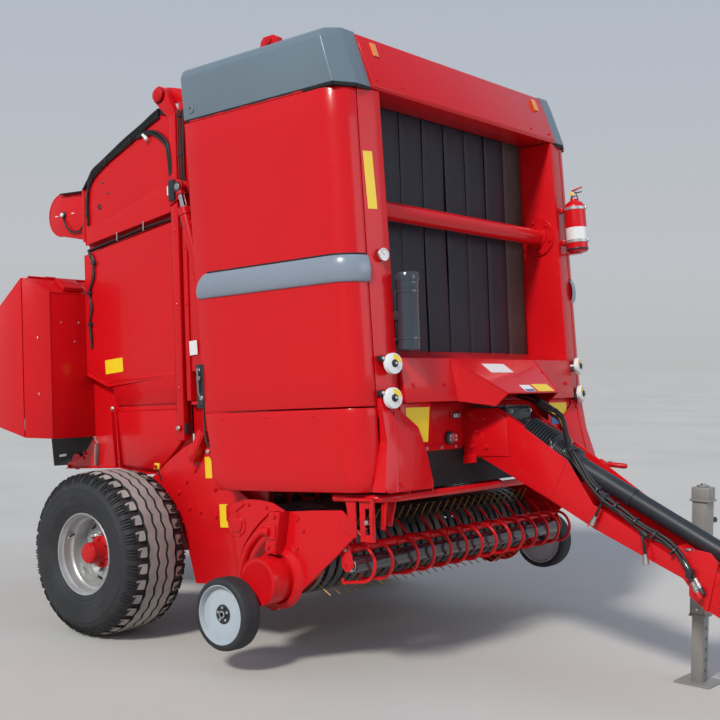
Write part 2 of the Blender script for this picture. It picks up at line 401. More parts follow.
# roof, header
p = Part("header_panel", "frame", ("roof_header", "roof_caps", "lower_shields"))
HP = [(-1.747, 2.650), (-1.7535, 2.668), (-1.662, 2.927), (-1.650, 2.934), (-1.558, 2.934), (-1.558, 2.650)]
p.px(HP, -.843, .843, RED, bevel=.004, seg=2, ang=12)
p.box(-.945, .945, -1.560, -.652, 2.912, 2.930, RED, bevel=.003)
for x in (-.62, -.2, .2, .62): p.box(x - .02, x + .02, -1.54, -.68, 2.930, 2.938, RED, bevel=.003)
p.box(-.79, .79, -.662, -.650, 2.79, 2.913, RED)
for s in (-1, 1):
    n = Vector((0, -.9484, .3172)); c = Vector((s * .735, -1.7535 + .868 * .0913 + .001, 2.668 + .868 * .259 - .02))
    c = Vector((s * .742, -1.7535 + (2.868 - 2.668) * (.0915 / .259), 2.868)); label(p, c, (0, -.943, .333), (0, 0, 1), .038, .072, AMBER, t=.006)
    for x in (.80, .60): p.bolt((s * x, -1.7535 + (2.70 - 2.668) * .3533, 2.70), (0, -.943, .333), RED, af=.012, h=.004, w=False)
# small bent bracket on the roof
for s in (-1,):
    p.px([(-1.14, 2.93), (-1.27, 2.93), (-1.26, 2.985), (-1.235, 3.0), (-1.17, 3.0), (-1.15, 2.98)], s * .955 - .012, s * .955 + .030, RED, bevel=.004)
    p.cyl((s * .955 - .02, -1.205, 2.975), (s * .955 + .04, -1.205, 2.975), .02, REDC)
p.done(sharp=25)

# ---------------------------------------------------------------- front posts with their flared skirts
SK = [(-.930, 1.200), (-.812, 1.200), (-.805, 1.142), (-.775, 1.124), (-.677, 1.058), (-.643, .948), (-.624, .768), (-1.000, .768), (-.962, .892), (-.930, 1.000)]
def sky(z): return -1.797 - (1.200 - z) * .065 / .432
for s, side in SIDES:
    q = Part("front_post_" + side, "frame", ("front_posts",) if s < 0 else (), s)
    zt, zb = 2.645, 1.180; r = math.radians(2.15)
    def pr(x, yl, z): zl = (z - 1.18) / math.cos(r); return Vector((x, -1.744 + yl * math.cos(r) + zl * math.sin(r), z))
    sec = [(.791, .0), (.791, -.0545), (.7945, -.0575), (.799, -.0580), (.864, -.0455), (.926, -.0335), (.930, -.0325), (.930, .070), (.926, .070), (.926, -.029), (.800, -.053), (.796, .0)]
    rows = [[pr(x, y, lerp(zb, zt, k / 6)) for x, y in sec] for k in range(7)]
    vs = [v for rr in rows for v in rr]; m = len(sec); fc = [list(range(m))[::-1], list(range(6 * m, 7 * m))]
    for i in range(6):
        for j in range(m): a = i * m + j; b = i * m + (j + 1) % m; fc.append([a, b, b + m, a + m])
    q.solid(vs, fc, RED, bevel=0)
    # opening liner behind the post, seen through the chamber mouth
    q.box(.791, .797, -1.70, -1.56, 1.44, 2.645, RED, bevel=.0015)
    # flared skirt plate
    pl = [(-x, z) for x, z in SK]; pl = fillet([(x, z, 0) for x, z in pl + [pl[0]]], .03, 4)[:-1]; pl = [(v.x, v.y) for v in pl]
    q.solid([(x, sky(z), z) for x, z in pl] + [(x, sky(z) + .007, z) for x, z in pl], [list(range(len(pl)))[::-1], list(range(len(pl), 2 * len(pl)))] + [[i, (i + 1) % len(pl), (i + 1) % len(pl) + len(pl), i + len(pl)] for i in range(len(pl))], RED, bevel=.0022)
    # outer edge of the skirt turned back
    oe = [(.930, 1.150), (.930, 1.000), (.962, .892), (.998, .775)]
    for (xa, za), (xb, zb) in zip(oe, oe[1:]):
        q.solid([(x - d, y, z) for x, z in ((xa, za), (xb, zb)) for y in (sky(z) + .003, -1.785) for d in (0, .005)], [(0, 1, 3, 2), (4, 6, 7, 5), (0, 4, 5, 1), (2, 3, 7, 6), (0, 2, 6, 4), (1, 5, 7, 3)], RED)
    # folded edge strip of the skirt and its bolts
    es = [(.868, 1.196), (.862, 1.0), (.880, .90), (.912, .772)]
    for a, b in zip(es, es[1:]):
        for u in (0,): q.tube([Vector((a[0], sky(a[1]) - .001, a[1])), Vector((b[0], sky(b[1]) - .001, b[1]))], .0035, RED, n=8)
    for x, z in ((.852, 1.125), (.880, .800)): q.bolt((x, sky(z), z), (0, -.98, -.15), RED, af=.016, h=.007); 
    q.px([(-1.797, 1.195), (-1.797, 1.11), (-1.74, 1.11), (-1.70, 1.195)], .916, .928, RED)
    # brackets that carry the skirt from the chamber wall
    q.box(.795, .86, -1.80, -1.70, .80, .81, RED); q.px([(-1.845, .775), (-1.60, .775), (-1.60, .83), (-1.80, .90)], .800, .808, RED)
    if s > 0: pass
    q.done(sharp=28)
p = Part("post_films", "frame")
# yellow scale strip on the right post with blank tick marks
c0 = post(.886, 2.2115, 0); UPS = (-.0393, PU.y, PU.z); NS = (-PN.x, PN.y, PN.z)
label(p, (-.886, c0.y, c0.z), NS, UPS, .056, .272, YELLOW)
for i in range(18):
    z0 = 2.084 + i * .0150; c1 = post(.886, z0, .0012); x0 = -(.886 + (z0 - 2.2115) * .0393)
    label(p, (x0 + (.013 if i % 3 else .009), c1.y, c1.z), NS, UPS, .022 if i % 3 else .030, .0022, BLACK, t=.0010)
# carrier plates under the beam with their films
for s in (-1, 1):
    x0, x1 = sorted((s * .550, s * .790)); p.box(x0, x1, -1.8015, -1.7960, .975, 1.172, RED, bevel=.001)
p.extr([(-.750, -1.8019, 1.150), (-.563, -1.8019, 1.150), (-.585, -1.8019, .985), (-.750, -1.8019, .985)], (0, -.0012, 0), YELLOW, bevel=0)
p.extr([(.563, -1.8019, 1.150), (.750, -1.8019, 1.150), (.750, -1.8019, 1.085), (.570, -1.8019, 1.085)], (0, -.0012, 0), YELLOW, bevel=0)
p.extr([(.576, -1.8019, 1.080), (.750, -1.8019, 1.080), (.750, -1.8019, 1.030), (.584, -1.8019, 1.030)], (0, -.0012, 0), BLUE, bevel=0)
p.done()

# ---------------------------------------------------------------- front beam, hood, gearbox, cross tube
p = Part("front_beam_shell", "frame", ("front_beam",))
BM = [(-1.562, 1.4365), (-1.812, 1.3845), (-1.8355, 1.175), (-1.8355 + .030, 1.172), (-1.808, 1.1775), (-1.788, 1.374), (-1.562, 1.425)]
p.px(BM, -.790, .790, RED, bevel=.003, ang=18)
p.box(-.790, .790, -1.712, -1.700, .950, 1.172, RED, bevel=.003)
for x in (-.6, -.4, .4, .6): p.px([(-1.79, 1.18), (-1.79, 1.37), (-1.572, 1.418), (-1.572, 1.35), (-1.72, 1.18)], x - .003, x + .003, RED, bevel=.001)
p.box(-.790, .790, -1.575, -1.562, 1.36, 1.428, RED)
for x in (-.72, -.47, .47, .72): p.bolt((x, -1.8255, 1.255), (0, -.994, -.11), RED, af=.015, h=.006)
# sockets and plug plate on the lower crosspiece
p.cyl((-.290, -1.712, .993), (-.290, -1.735, .991), .034, DARK, n=32, bevel=.004); p.cyl((-.290, -1.733, .993), (-.290, -1.744, .992), .026, ZINC, n=32, bevel=.003)
for k in range(6):
    t = k * math.pi / 3; p.cyl((-.290 + .022 * math.cos(t), -1.744, .992 + .022 * math.sin(t)), (-.290 + .022 * math.cos(t), -1.7465, .992 + .022 * math.sin(t)), .0042, DARK, n=10, bevel=0)
label(p, (-.221, -1.712, .990), (0, -1, 0), (0, 0, 1), .016, .032, WHITE)
p.box(-.270, -.180, -1.7205, -1.712, 1.082, 1.126, REDC); p.box(-.258, -.193, -1.7245, -1.7205, 1.088, 1.118, DARK)
for x in (-.246, -.226, -.204): p.box(x - .006, x + .006, -1.729, -1.7245, 1.093, 1.112, WHITE if x < -.21 else SILVER, bevel=.001)
# under-edge rod seen below the beam
p.cyl((-.76, -1.69, .925), (-.34, -1.69, .925), .014, DARK)
for x in (-.76, -.34): p.px([(-1.705, .965), (-1.675, .965), (-1.675, .905), (-1.705, .905)], x - .004, x + .004, RED)
p.done()
# hood over the gearbox: plates with folded lips
p = Part("gearbox_hood_shell", "frame", ("gearbox_hood",))
T = [Vector((-.392, -1.812, 1.3855)), Vector((.392, -1.812, 1.3855)), Vector((.241, -2.045, 1.204)), Vector((-.241, -2.045, 1.204))]
Lr = [Vector((.367, -1.834, 1.172)), Vector((.241, -1.968, 1.142))]
def plate(pt, q, t, mat=RED, bevel=.0025):
    q = [Vector(v) for v in q]; n = (q[1] - q[0]).cross(q[2] - q[0]).normalized()
    pt.extr(q, n * t, mat, bevel=bevel)
plate(p, [T[3], T[2], T[1], T[0]], -.006)
for s in (-1, 1):
    a, b, c, d = Vector((s * .392, -1.812, 1.3855)), Vector((s * .241, -2.045, 1.204)), Vector((s * .241, -1.968, 1.142)), Vector((s * .367, -1.834, 1.172))
    if s > 0: plate(p, [a, b, c, d], -.006)
    else: plate(p, [d, c, b, a], -.006)
    p.tube([a, b], .0035, RED, n=8); p.tube([b, c], .0035, RED, n=8)
    # corner gusset from the beam face to the hood side
    p.bolt((s * .33, -1.905, 1.318), (s * .0, -.62, .78), RED, af=.013, h=.004, w=False)
p.tube([T[3], T[2]], .0042, RED, n=8)
n = (T[1] - T[0]).cross(T[3] - T[0]).normalized(); n = n if n.z > 0 else -n
up = Vector((0, T[0].y - T[3].y, T[0].z - T[3].z)).normalized()
def hood(u, v): return T[3].lerp(T[2], u).lerp(T[0].lerp(T[1], u), v)
for c, w, h, mt in (((-.068, -1.879, 1.334), .205, .075, WHITE), ((.139, -2.015, 1.228), .155, .062, YELLOW), ((-.012, -2.017, 1.226), .095, .055, WHITE)): label(p, Vector(c) + n * (.0005 - (Vector(c) - T[0]).dot(n)), n, up, w, h, mt)
label(p, Vector((-.012, -2.030, 1.216)) + n * (.0012 - (Vector((-.012, -2.030, 1.216)) - T[0]).dot(n)), n, up, .080, .018, BLUE)
p.done(sharp=20)
p = Part("gearbox_casting", "frame", ("gearbox",))
p.box(-.112, .112, -1.962, -1.712, .958, 1.138, DARK, bevel=.016, seg=3)
PA0 = Vector((0, -1.990, 1.004)); PB0 = Vector((0, -3.040, .418)); PD = (PB0 - PA0).normalized()
p.lathe(PA0 - PD * .034, PD, [(.066, 0), (.066, .012), (.058, .018), (.050, .026), (.050, .046)], DARK, n=40)
for k in range(8):
    t = k * math.pi / 4; p.bolt(PA0 + Vector((.052 * math.cos(t), 0, 0)) - PD * .023 + Vector((0, .487, -.873)).normalized() * .052 * math.sin(t), PD, ZINC, af=.011, h=.005, w=False)
for x in (-.09, .09):
    for z in (.98, 1.115): p.bolt((x, -1.962, z), (0, -1, 0), ZINC, af=.014, h=.007)
for k in range(5): p.box(-.113, .113, -1.95 + .045 * k, -1.943 + .045 * k, 1.10, 1.146, DARK, bevel=.002)
# shaft out to the side and its cover tube
p.cyl((.112, -1.84, 1.05), (.36, -1.78, 1.05), .034, DARK)
p.done()
p = Part("cross_tube_bar", "frame", ("cross_tube",))
p.rod(-.788, .788, (-1.640, 2.110), .0465, RED, n=48)
for s in (-1, 1): p.ring(s * .788, s * .777, (-1.640, 2.110), .110, .046, RED, n=56); p.ring(s * .776, s * .768, (-1.640, 2.110), .062, .046, RED, n=48)
for k in range(6):
    t = k * math.pi / 3 + .3
    for s in (-1, 1): p.bolt((s * .777, -1.640 + .088 * math.cos(t), 2.110 + .088 * math.sin(t)), (-s, 0, 0), RED, af=.017, h=.007)
label(p, (.7895, -1.494, 2.208), (-1, 0, 0), (0, 0, 1), .070, .030, WHITE)
p.done()

# ---------------------------------------------------------------- chamber walls seen at the sides
p = Part("chamber_walls", "frame", ("side_walls",))
WL = [(-1.739, 2.646), (-1.559, 2.646), (-1.559, 2.908), (-.650, 2.908), (-.640, 2.890), (-.405, 2.890), (-.405, .520), (-.945, .520), (-.945, .870), (-1.700, .870), (-1.795, 1.180)]
for s in (-1, 1):
    p.px(WL, s * .790, s * .799, RED, bevel=.0015)
    p.box(min(s * .799, s * .849), max(s * .799, s * .849), -.441, -.406, 1.228, 2.848, RED, bevel=.005)
    p.px([(-.640, 1.384), (-.640, 2.638), (-.443, 2.638), (-.443, 1.384)], s * .799, s * .842, RED, bevel=.006)
    p.box(min(s * .799, s * .841), max(s * .799, s * .841), -.638, -.432, 1.207, 1.224, RED, bevel=.003)
    # hinge lug with its pin and keeper
    lug = [(-.560, 2.780), (-.560, 2.885), (-.330, 2.950), (-.285, 2.9605), (-.250, 2.953), (-.224, 2.930), (-.232, 2.888), (-.270, 2.862), (-.420, 2.858), (-.440, 2.780)]
    p.px(lug, s * .799, s * .818, RED, bevel=.003); p.rod(s * .818, s * .884, (-.270, 2.910), .0196, REDC, n=28)
    p.lathe((s * .864, -.270, 2.910), (s, 0, 0), [(.034, 0), (.038, .004), (.038, .014), (.030, .019), (0, .019)], REDC, n=32)
    # lower cylinder bracket with gussets and pin
    p.px([(-.845, 1.190), (-.845, 1.270), (-.805, 1.296), (-.775, 1.296), (-.735, 1.270), (-.735, 1.190)], s * .799, s * .866, RED, bevel=.004)
    p.rod(s * .866, s * .936, (-.790, 1.230), .0176, ZINC, n=24); p.lathe((s * .928, -.790, 1.230), (s, 0, 0), [(.026, 0), (.028, .003), (.028, .008), (.020, .011), (0, .011)], ZINC, n=24)
    for z in (1.45, 1.75, 2.05, 2.35, 2.60): p.bolt((s * .849, -.424, z), (s, 0, 0), RED, af=.014, h=.005, w=False)
label(p, (-.8495, -.4735, 1.510), (-1, 0, 0), (0, 0.05, 1), .060, .076, WHITE)
p.done()

# ---------------------------------------------------------------- belts and rollers
def loop_pts(cs, r, n=26):
    """closed run round rollers cs of radius r, in order, as (y, z)"""
    out = []; m = len(cs)
    for i, c in enumerate(cs):
        a, b = cs[i - 1], cs[(i + 1) % m]
        d0 = math.atan2(c[1] - a[1], c[0] - a[0]) - math.pi / 2; d1 = math.atan2(b[1] - c[1], b[0] - c[0]) - math.pi / 2
        while d1 < d0: d1 += 2 * math.pi
        k = max(4, int((d1 - d0) / .16))
        for j in range(k + 1): t = lerp(d0, d1, j / k); out.append((c[0] + r * math.cos(t), c[1] + r * math.sin(t)))
        e = (b[0] + r * math.cos(d1), b[1] + r * math.sin(d1)); f = out[-1]
        for j in range(1, n): out.append((lerp(f[0], e[0], j / n), lerp(f[1], e[1], j / n)))
    return out
def belts(part, cs, r, t, mats, seed, wob=.0026):
    rnd = random.Random(seed)
    for i in range(8):
        x = (i - 3.5) * .195 + rnd.uniform(-.003, .003); w = .186; L = loop_pts(cs, r); n = len(L); ph = rnd.uniform(0, 6.28)
        rows = []
        for k, (y, z) in enumerate(L):
            dx = .0035 * math.sin(k * .23 + ph); a, b = L[k - 1], L[(k + 1) % n]; ty, tz = b[0] - a[0], b[1] - a[1]; q = math.hypot(ty, tz) or 1; ny, nz = tz / q, -ty / q
            o = wob * math.sin(k * .31 + ph * 2)
            row = []
            for u, h in ((-.5, t * .15), (-.497, t * .85), (-.485, t), (-.25, t * 1.0), (0, t * 1.0), (.25, t * 1.0), (.485, t), (.497, t * .85), (.5, t * .15), (.49, 0), (0, 0), (-.49, 0)):
                row.append((x + dx + u * w, y + ny * (h + max(0, o) * .4), z + nz * (h + max(0, o) * .4)))
            rows.append(row)
        bm = bmesh.new(); V = [[bm.verts.new(v) for v in rw] for rw in rows]; m = len(rows[0])
        for a in range(n):
            for b in range(m): bm.faces.new((V[a][b], V[a][(b + 1) % m], V[(a + 1) % n][(b + 1) % m], V[(a + 1) % n][b]))
        part._add(bm, mats[i])
        # lacing: a row of steel clips across the belt
        rnd.uniform(.1, .9); k = max(range(n), key=lambda q: L[q][0] + .002 * ((q * 7 + i * 13) % 29)); y, z = L[k]; a, b = L[k - 1], L[(k + 1) % n]; ty, tz = b[0] - a[0], b[1] - a[1]; q = math.hypot(ty, tz); ty /= q; tz /= q; ny, nz = tz, -ty
        for c in range(9):
            cx = x - w * .42 + w * .84 * c / 8; o = Vector((cx, y + ny * (t + .0005), z + nz * (t + .0005)))
            part.extr([o + Vector((-.005, -ty * .013, -tz * .013)), o + Vector((.005, -ty * .013, -tz * .013)), o + Vector((.005, ty * .013, tz * .013)), o + Vector((-.005, ty * .013, tz * .013))], Vector((0, ny, nz)) * .0022, STEEL, bevel=0)
    return part
p = Part("chamber_belt_run", "frame", ("chamber_belts",))
belts(p, [(-1.440, 1.330), (-1.440, 2.700)], .1003, .0078, [BELT] * 7 + [BELTB], 3); p.done(sharp=40)
p = Part("chamber_roller_set", "frame", ("chamber_rollers",))
for y, z, r in ((-1.440, 1.330, .0992), (-1.440, 2.700, .0992), (-1.150, .985, .095), (-.545, .875, .085)):
    p.ring(-.788, .788, (y, z), r, r - .008, STEEL if z > 1 else DARK, n=48)
    for s in (-1, 1): p.lathe((s * .770, y, z), (s, 0, 0), [(r - .008, 0), (r - .008, .010), (.036, .010), (.036, .018), (0, .018)], DARK, n=32)
# ribs on the starter roller
for k in range(8):
    t = k * math.pi / 4; c = Vector((0, -1.150, .985)); u = Vector((0, math.cos(t), math.sin(t))); p.extr([c + u * .0945 + Vector((-.775, 0, 0)) + u.cross(Vector((1, 0, 0))) * w for w in (-.006, .006)] + [c + u * .0945 + Vector((.775, 0, 0)) + u.cross(Vector((1, 0, 0))) * w for w in (.006, -.006)], u * .006, DARK, bevel=0)
p.done()
p = Part("feed_rotor_discs", "frame", ("feed_rotor",))
p.rod(-.788, .788, (-.700, .640), .079, DARK, n=40)
for i in range(-6, 7):
    st = []
    for k in range(6):
        for sgn, rr in ((0, .174), (.28, .120), (1, .088), (1.5, .088)):
            t = math.radians(k * 60 + sgn * 30 + i * 25); st.append((-.700 + rr * math.cos(t), .640 + rr * math.sin(t)))
    p.px(st, i * .118 - .005, i * .118 + .005, RED if i % 2 else REDC, bevel=.0015)
p.done()

# ---------------------------------------------------------------- small pieces on the front
p = Part("document_canister", "frame", ("canister",))
a, b = Vector((-.758, -1.841, 1.412)), Vector((-.745, -1.833, 1.742)); d = (b - a).normalized()
p.lathe(a, d, [(0, 0), (.044, 0), (.0505, .006), (.052, .016), (.052, .30), (.0535, .304), (.0535, .322), (.0565, .326), (.0575, .334), (.0575, .362), (.054, .3675), (.045, .3695), (0, .3695)], CANI, n=48)
for h in (.05, .27): p.lathe(a + d * h, d, [(.0525, 0), (.0545, .002), (.0545, .012), (.0525, .014)], CANI, n=48, loop=True)
for k in range(18):
    t = k * math.pi / 9; o = a + d * .337; u = Vector((math.cos(t), math.sin(t), 0)); p.cyl(o + u * .0575, o + u * .0575 + d * .024, .0022, CANI, n=6, bevel=0)
p.box(-.795, -.742, -1.812, -1.748, 1.560, 1.600, DARK); p.box(-.785, -.728, -1.792, -1.778, 1.44, 1.70, DARK)
p.box(-.80, -.745, -1.80, -1.762, 1.46, 1.475, DARK)
p.done()
# extinguisher on the left post
p = Part("extinguisher_bottle", "frame", ("extinguisher",))
c = post(.888, 2.005, .084); U = PU
p.lathe(c, U, [(0, .004), (.040, 0), (.054, .004), (.0595, .014), (.060, .030), (.060, .252), (.0575, .270), (.048, .287), (.033, .298), (.024, .302), (.022, .312), (0, .312)], RED, n=48)
p.lathe(c + U * .012, U, [(.0602, 0), (.0612, .002), (.0612, .010), (.0602, .012)], BLACK, n=48)
p.lathe(c + U * .070, U, [(.0603, 0), (.0607, .0006), (.0607, .072), (.0603, .0725)], WHITE, n=48)
p.lathe(c + U * .302, U, [(.017, 0), (.020, .004), (.020, .020), (.015, .026), (.015, .040)], ZINC, n=24)
hd = c + U * .335; p.extr([hd + PA * x + U * y - PN * .010 for x, y in ((-.016, -.008), (.016, -.008), (.018, .022), (-.018, .022))], PN * .020, DARK, bevel=.003)
p.extr([hd + PN * x + U * y - PA * .007 for x, y in ((-.012, .020), (.052, .038), (.054, .044), (-.010, .030))], PA * .014, RED, bevel=.002)
p.extr([hd + PN * x + U * y - PA * .007 for x, y in ((-.010, .006), (.050, .012), (.050, .017), (-.010, .014))], PA * .014, DARK, bevel=.002)
p.cyl(hd + PA * .016 + U * .004, hd + PA * .030 + U * .004, .013, WHITE, n=24); p.cyl(hd + PA * .0302 + U * .004, hd + PA * .032 + U * .004, .010, YELLOW, n=24, bevel=0)
p.tube(spline([hd - PA * .016 + U * .002, hd - PA * .040 + U * .010, hd - PA * .068 - U * .020, hd - PA * .072 - U * .120, hd - PA * .067 - U * .220], 8), .0062, HOSE, n=12)
p.lathe(hd - PA * .067 - U * .215, -U, [(.0065, 0), (.009, .004), (.011, .045), (.009, .048), (.007, .048)], BLACK, n=20)
for h in (.055, .245):
    p.lathe(c + U * h, U, [(.0606, 0), (.0626, .001), (.0626, .017), (.0606, .018)], SILVER, n=48)
    q0 = c + U * (h + .009) - PN * .060; p.extr([q0 + PA * x - U * .012 for x in (-.034, .034)] + [q0 + PA * x - U * .012 - PN * .023 for x in (.034, -.034)], U * .024, RED, bevel=.002)
    p.extr([c + PA * x + U * (h + .002) + PN * .0625 for x in (-.010, .010)] + [c + PA * x + U * (h + .002) + PN * .072 for x in (.008, -.008)], U * .014, SILVER, bevel=.0015)
p.extr([c + PA * x + PN * y - U * .006 for x, y in ((-.032, -.083), (.032, -.083), (.032, .014), (-.032, .014))], U * .006, RED, bevel=.002)
p.done()
# twine pulleys with white discs
for s, side in SIDES:
    q = Part("twine_pulleys_" + side, "frame", ("rope_pulleys",) if s < 0 else (), s)
    for x, z, low in ((.858, 1.351, 0), (.872, 1.193, 1)):
        c = post(x, z, 0); st = .015 if low else .0
        q.cyl(c + PN * st, c + PN * .033, .0155, ZINC, n=24)
        q.lathe(c + PN * .032, PN, [(.010, 0), (.0475, 0), (.0485, .002), (.0485, .0055), (.043, .0085), (.043, .0135), (.0485, .017), (.0485, .0215), (.0475, .0235), (.044, .0245), (.012, .0248)], WHITE, n=56)
        # yellow sector on the face
        for g in range(9):
            t0, t1 = math.radians(12 + g * 9.5), math.radians(12 + (g + 1) * 9.5); f = c + PN * .0570
            q.solid([f + PA * (r * math.cos(t)) + PU * (r * math.sin(t)) + PN * h for r in (.020, .0425) for t in (t0, t1) for h in (0, .0008)], [(0, 2, 6, 4), (1, 5, 7, 3), (0, 4, 5, 1), (2, 3, 7, 6), (0, 1, 3, 2), (4, 6, 7, 5)], YELLOW)
        q.lathe(c + PN * .0566, PN, [(.0175, 0), (.0185, .0015), (.0175, .004), (.010, .005), (.010, .009), (0, .0095)], BLACK, n=32)
        q.bolt(c + PN * .0655, PN, ZINC, af=.010, h=.005, w=False)
        # guide eyes and bracket arms
        for sx, sy in ((-.052, .026), (.050, -.020)):
            m = c + PA * sx + PU * sy; q.extr([m + PA * x + PU * y + PN * .004 for x, y in ((-.010, -.012), (.010, -.012), (.010, .012), (-.010, .012))], PN * .030, BLACK, bevel=.002)
            q.cyl(m + PN * .034, m + PN * .042, .008, ZINC, n=18)
        if low: q.extr([c + PA * x + PU * y + PN * .0155 for x, y in ((-.055, .012), (.055, .012), (.052, -.020), (-.052, -.020))], PN * .004, DARK, bevel=.001)
    if s < 0:
        pass
    q.done()
p = Part("dial_gauge", "frame", ("pressure_dial",), -1)
c = post(.852, 1.860, 0)
p.lathe(c, PN, [(.020, 0), (.020, .006), (.0305, .008), (.0315, .012), (.0315, .024), (.0295, .0275), (.0265, .0275), (.0265, .0245), (0, .0245)], ZINC, n=48)
p.lathe(c + PN * .0247, PN, [(.0262, 0), (.0262, .0006), (0, .0008)], WHITE, n=40)
for k in range(11):
    t = math.radians(-45 + k * 27); a, b = c + PN * .0257 + (PA * math.cos(t) + PU * math.sin(t)) * .019, c + PN * .0257 + (PA * math.cos(t) + PU * math.sin(t)) * .024; p.tube([a, b], .0007, BLACK, n=5)
p.tube([c + PN * .0262, c + PN * .0262 + (PA * -.6 + PU * .8) * .019], .0010, RED, n=6); p.cyl(c + PN * .0255, c + PN * .0275, .003, BLACK, n=14)
p.done()

# ---------------------------------------------------------------- wheels
def tyre(s, side):
    q = Part("tyre_tread_" + side, "wheel_" + side, ("tyre_" + side,), s); X0 = 1.070; c = (0, AZ); o = Vector((X0, 0, AZ))
    half = [(.2165, .164), (.2185, .170), (.222, .1745), (.230, .1775), (.236, .1835), (.240, .1850), (.244, .1840), (.249, .1875), (.262, .1935), (.285, .1990), (.312, .2012), (.330, .2015), (.345, .2005), (.3475, .2020), (.351, .2020), (.3535, .1995), (.372, .1945), (.388, .1870), (.401, .1770), (.4105, .1640), (.4165, .1480), (.4195, .120), (.4210, .070), (.4215, 0)]
    prof = half + [(r, -h) for r, h in half[-2::-1]] + [(.2120, -.150), (.2120, .150)]
    q.lathe(o, (1, 0, 0), [(r, h) for r, h in prof], TYRE, n=128, loop=True)
    N = 32; RO = .4362
    def P(t, h, r): return Vector((X0 + h, r * math.cos(t), AZ + r * math.sin(t)))
    def crown(h): return RO - .055 * (h / .17) ** 4 * .32 - .0035 * (h / .17) ** 2
    # zigzag ribs: centre and two at the sides
    def rib(h0, h1, a0, a1, ph0, ph1):
        S = 8; rows = []
        for k in range(N * S):
            t = 2 * math.pi * k / (N * S); u = (k % S) / S
            z = lambda ph: abs(((u + ph) % 1.0) * 2 - 1) * 2 - 1
            e0, e1 = h0 + a0 * z(ph0), h1 + a1 * z(ph1)
            rows.append([P(t, e0 - .0020, .4195), P(t, e0, crown(e0) - .001), P(t, e0 + .002, crown(e0)), P(t, (e0 + e1) / 2, crown((e0 + e1) / 2)), P(t, e1 - .002, crown(e1)), P(t, e1, crown(e1) - .001), P(t, e1 + .0020, .4195)])
        bm = bmesh.new(); V = [[bm.verts.new(v) for v in r] for r in rows]; n = len(V); m = len(V[0])
        for a in range(n):
            for b in range(m): bm.faces.new((V[a][b], V[a][(b + 1) % m], V[(a + 1) % n][(b + 1) % m], V[(a + 1) % n][b]))
        q._add(bm, TYRE)
        # worn, dusty running face
        bm = bmesh.new(); V = []
        for k in range(N * S):
            t = 2 * math.pi * k / (N * S); u = (k % S) / S; z = lambda ph: abs(((u + ph) % 1.0) * 2 - 1) * 2 - 1
            e0, e1 = h0 + a0 * z(ph0) + .003, h1 + a1 * z(ph1) - .003; V.append([bm.verts.new(v) for v in (P(t, e0, crown(e0) - .002), P(t, e0, crown(e0) + .0006), P(t, (e0 + e1) / 2, crown((e0 + e1) / 2) + .0006), P(t, e1, crown(e1) + .0006), P(t, e1, crown(e1) - .002))])
        n, m = len(V), 5
        for a in range(n):
            for b in range(m): bm.faces.new((V[a][b], V[a][(b + 1) % m], V[(a + 1) % n][(b + 1) % m], V[(a + 1) % n][b]))
        q._add(bm, TREAD)
    rib(-.0255, .0255, .0060, .0060, 0, 0); rib(.0340, .0860, .0060, .0045, 0, 0); rib(-.0860, -.0340, .0045, .0060, 0, 0)
    # shoulder blocks with a notch, then flutes down the shoulder
    for sg in (-1, 1):
        for k in range(N):
            t0 = 2 * math.pi * (k + (.25 if sg > 0 else .75)) / N; w = 2 * math.pi / N
            out = [(.09, .0985), (.50, .0965), (.86, .0995), (.90, .108), (.885, .135), (.84, .1590), (.62, .1625), (.60, .1500), (.53, .1500), (.51, .1625), (.16, .1600), (.085, .137), (.07, .112)]
            out = [(.14 + (a - .07) * .795, h) for a, h in out]
            top = [P(t0 + w * a, sg * h, crown(h) - (.002 if h > .155 else 0)) for a, h in out]; bot = [P(t0 + w * (.47 + (a - .47) * 1.06), sg * (.13 + (h - .13) * 1.05), .4140 - .010 * max(0, (h - .12) / .045)) for a, h in out]
            n = len(top); q.solid(bot + top, [list(range(n))[::-1], list(range(n, 2 * n))] + [[i, (i + 1) % n, (i + 1) % n + n, i + n] for i in range(n)], TYRE)
            ca, ch = sum(a for a, h in out) / n, sum(h for a, h in out) / n; cap = [(ca + (a - ca) * .94, min(ch + (h - ch) * .94, .150)) for a, h in out[:6] + out[10:]]; m = len(cap)
            q.solid([P(t0 + w * a, sg * h, crown(h) - .004) for a, h in cap] + [P(t0 + w * a, sg * h, crown(h) + .0006 - (.0022 if h > .148 else 0)) for a, h in cap], [list(range(m))[::-1], list(range(m, 2 * m))] + [[i, (i + 1) % m, (i + 1) % m + m, i + m] for i in range(m)], TREAD)
            # flutes: four slim ribs from the block's edge down the shoulder
            for a in (.196, .371, .609, .768):
                hw = .028; pts = []
                for r, h, lift in ((.4215, .1600, .004), (.4085, .1735, .0050), (.3930, .1865, .0045), (.3770, .1940, .0012)):
                    for e in (-hw, hw): pts.append(P(t0 + w * (a + e), sg * (h + lift), r + lift * .6))
                    for e in (hw, -hw): pts.append(P(t0 + w * (a + e), sg * (h - .003), r - .003))
                f = [(0, 1, 2, 3)[::-1], (12, 13, 14, 15)]
                for j in range(3):
                    for b in range(4): f.append((j * 4 + b, j * 4 + (b + 1) % 4, j * 4 + 4 + (b + 1) % 4, j * 4 + 4 + b))
                q.solid(pts, f, TYRE)
    # small tie bars in the grooves
    for k in range(0, N, 2):
        for h in (-.0305, .0305):
            t = 2 * math.pi * (k + .3) / N; h = math.copysign(.0297, h); q.solid([P(t + a, h + b * .5, r) for r in (.418, .4262) for a, b in ((-.012, -.006), (.012, -.006), (.012, .006), (-.012, .006))], [(0, 1, 2, 3), (4, 5, 6, 7), (0, 1, 5, 4), (1, 2, 6, 5), (2, 3, 7, 6), (3, 0, 4, 7)], TYRE)
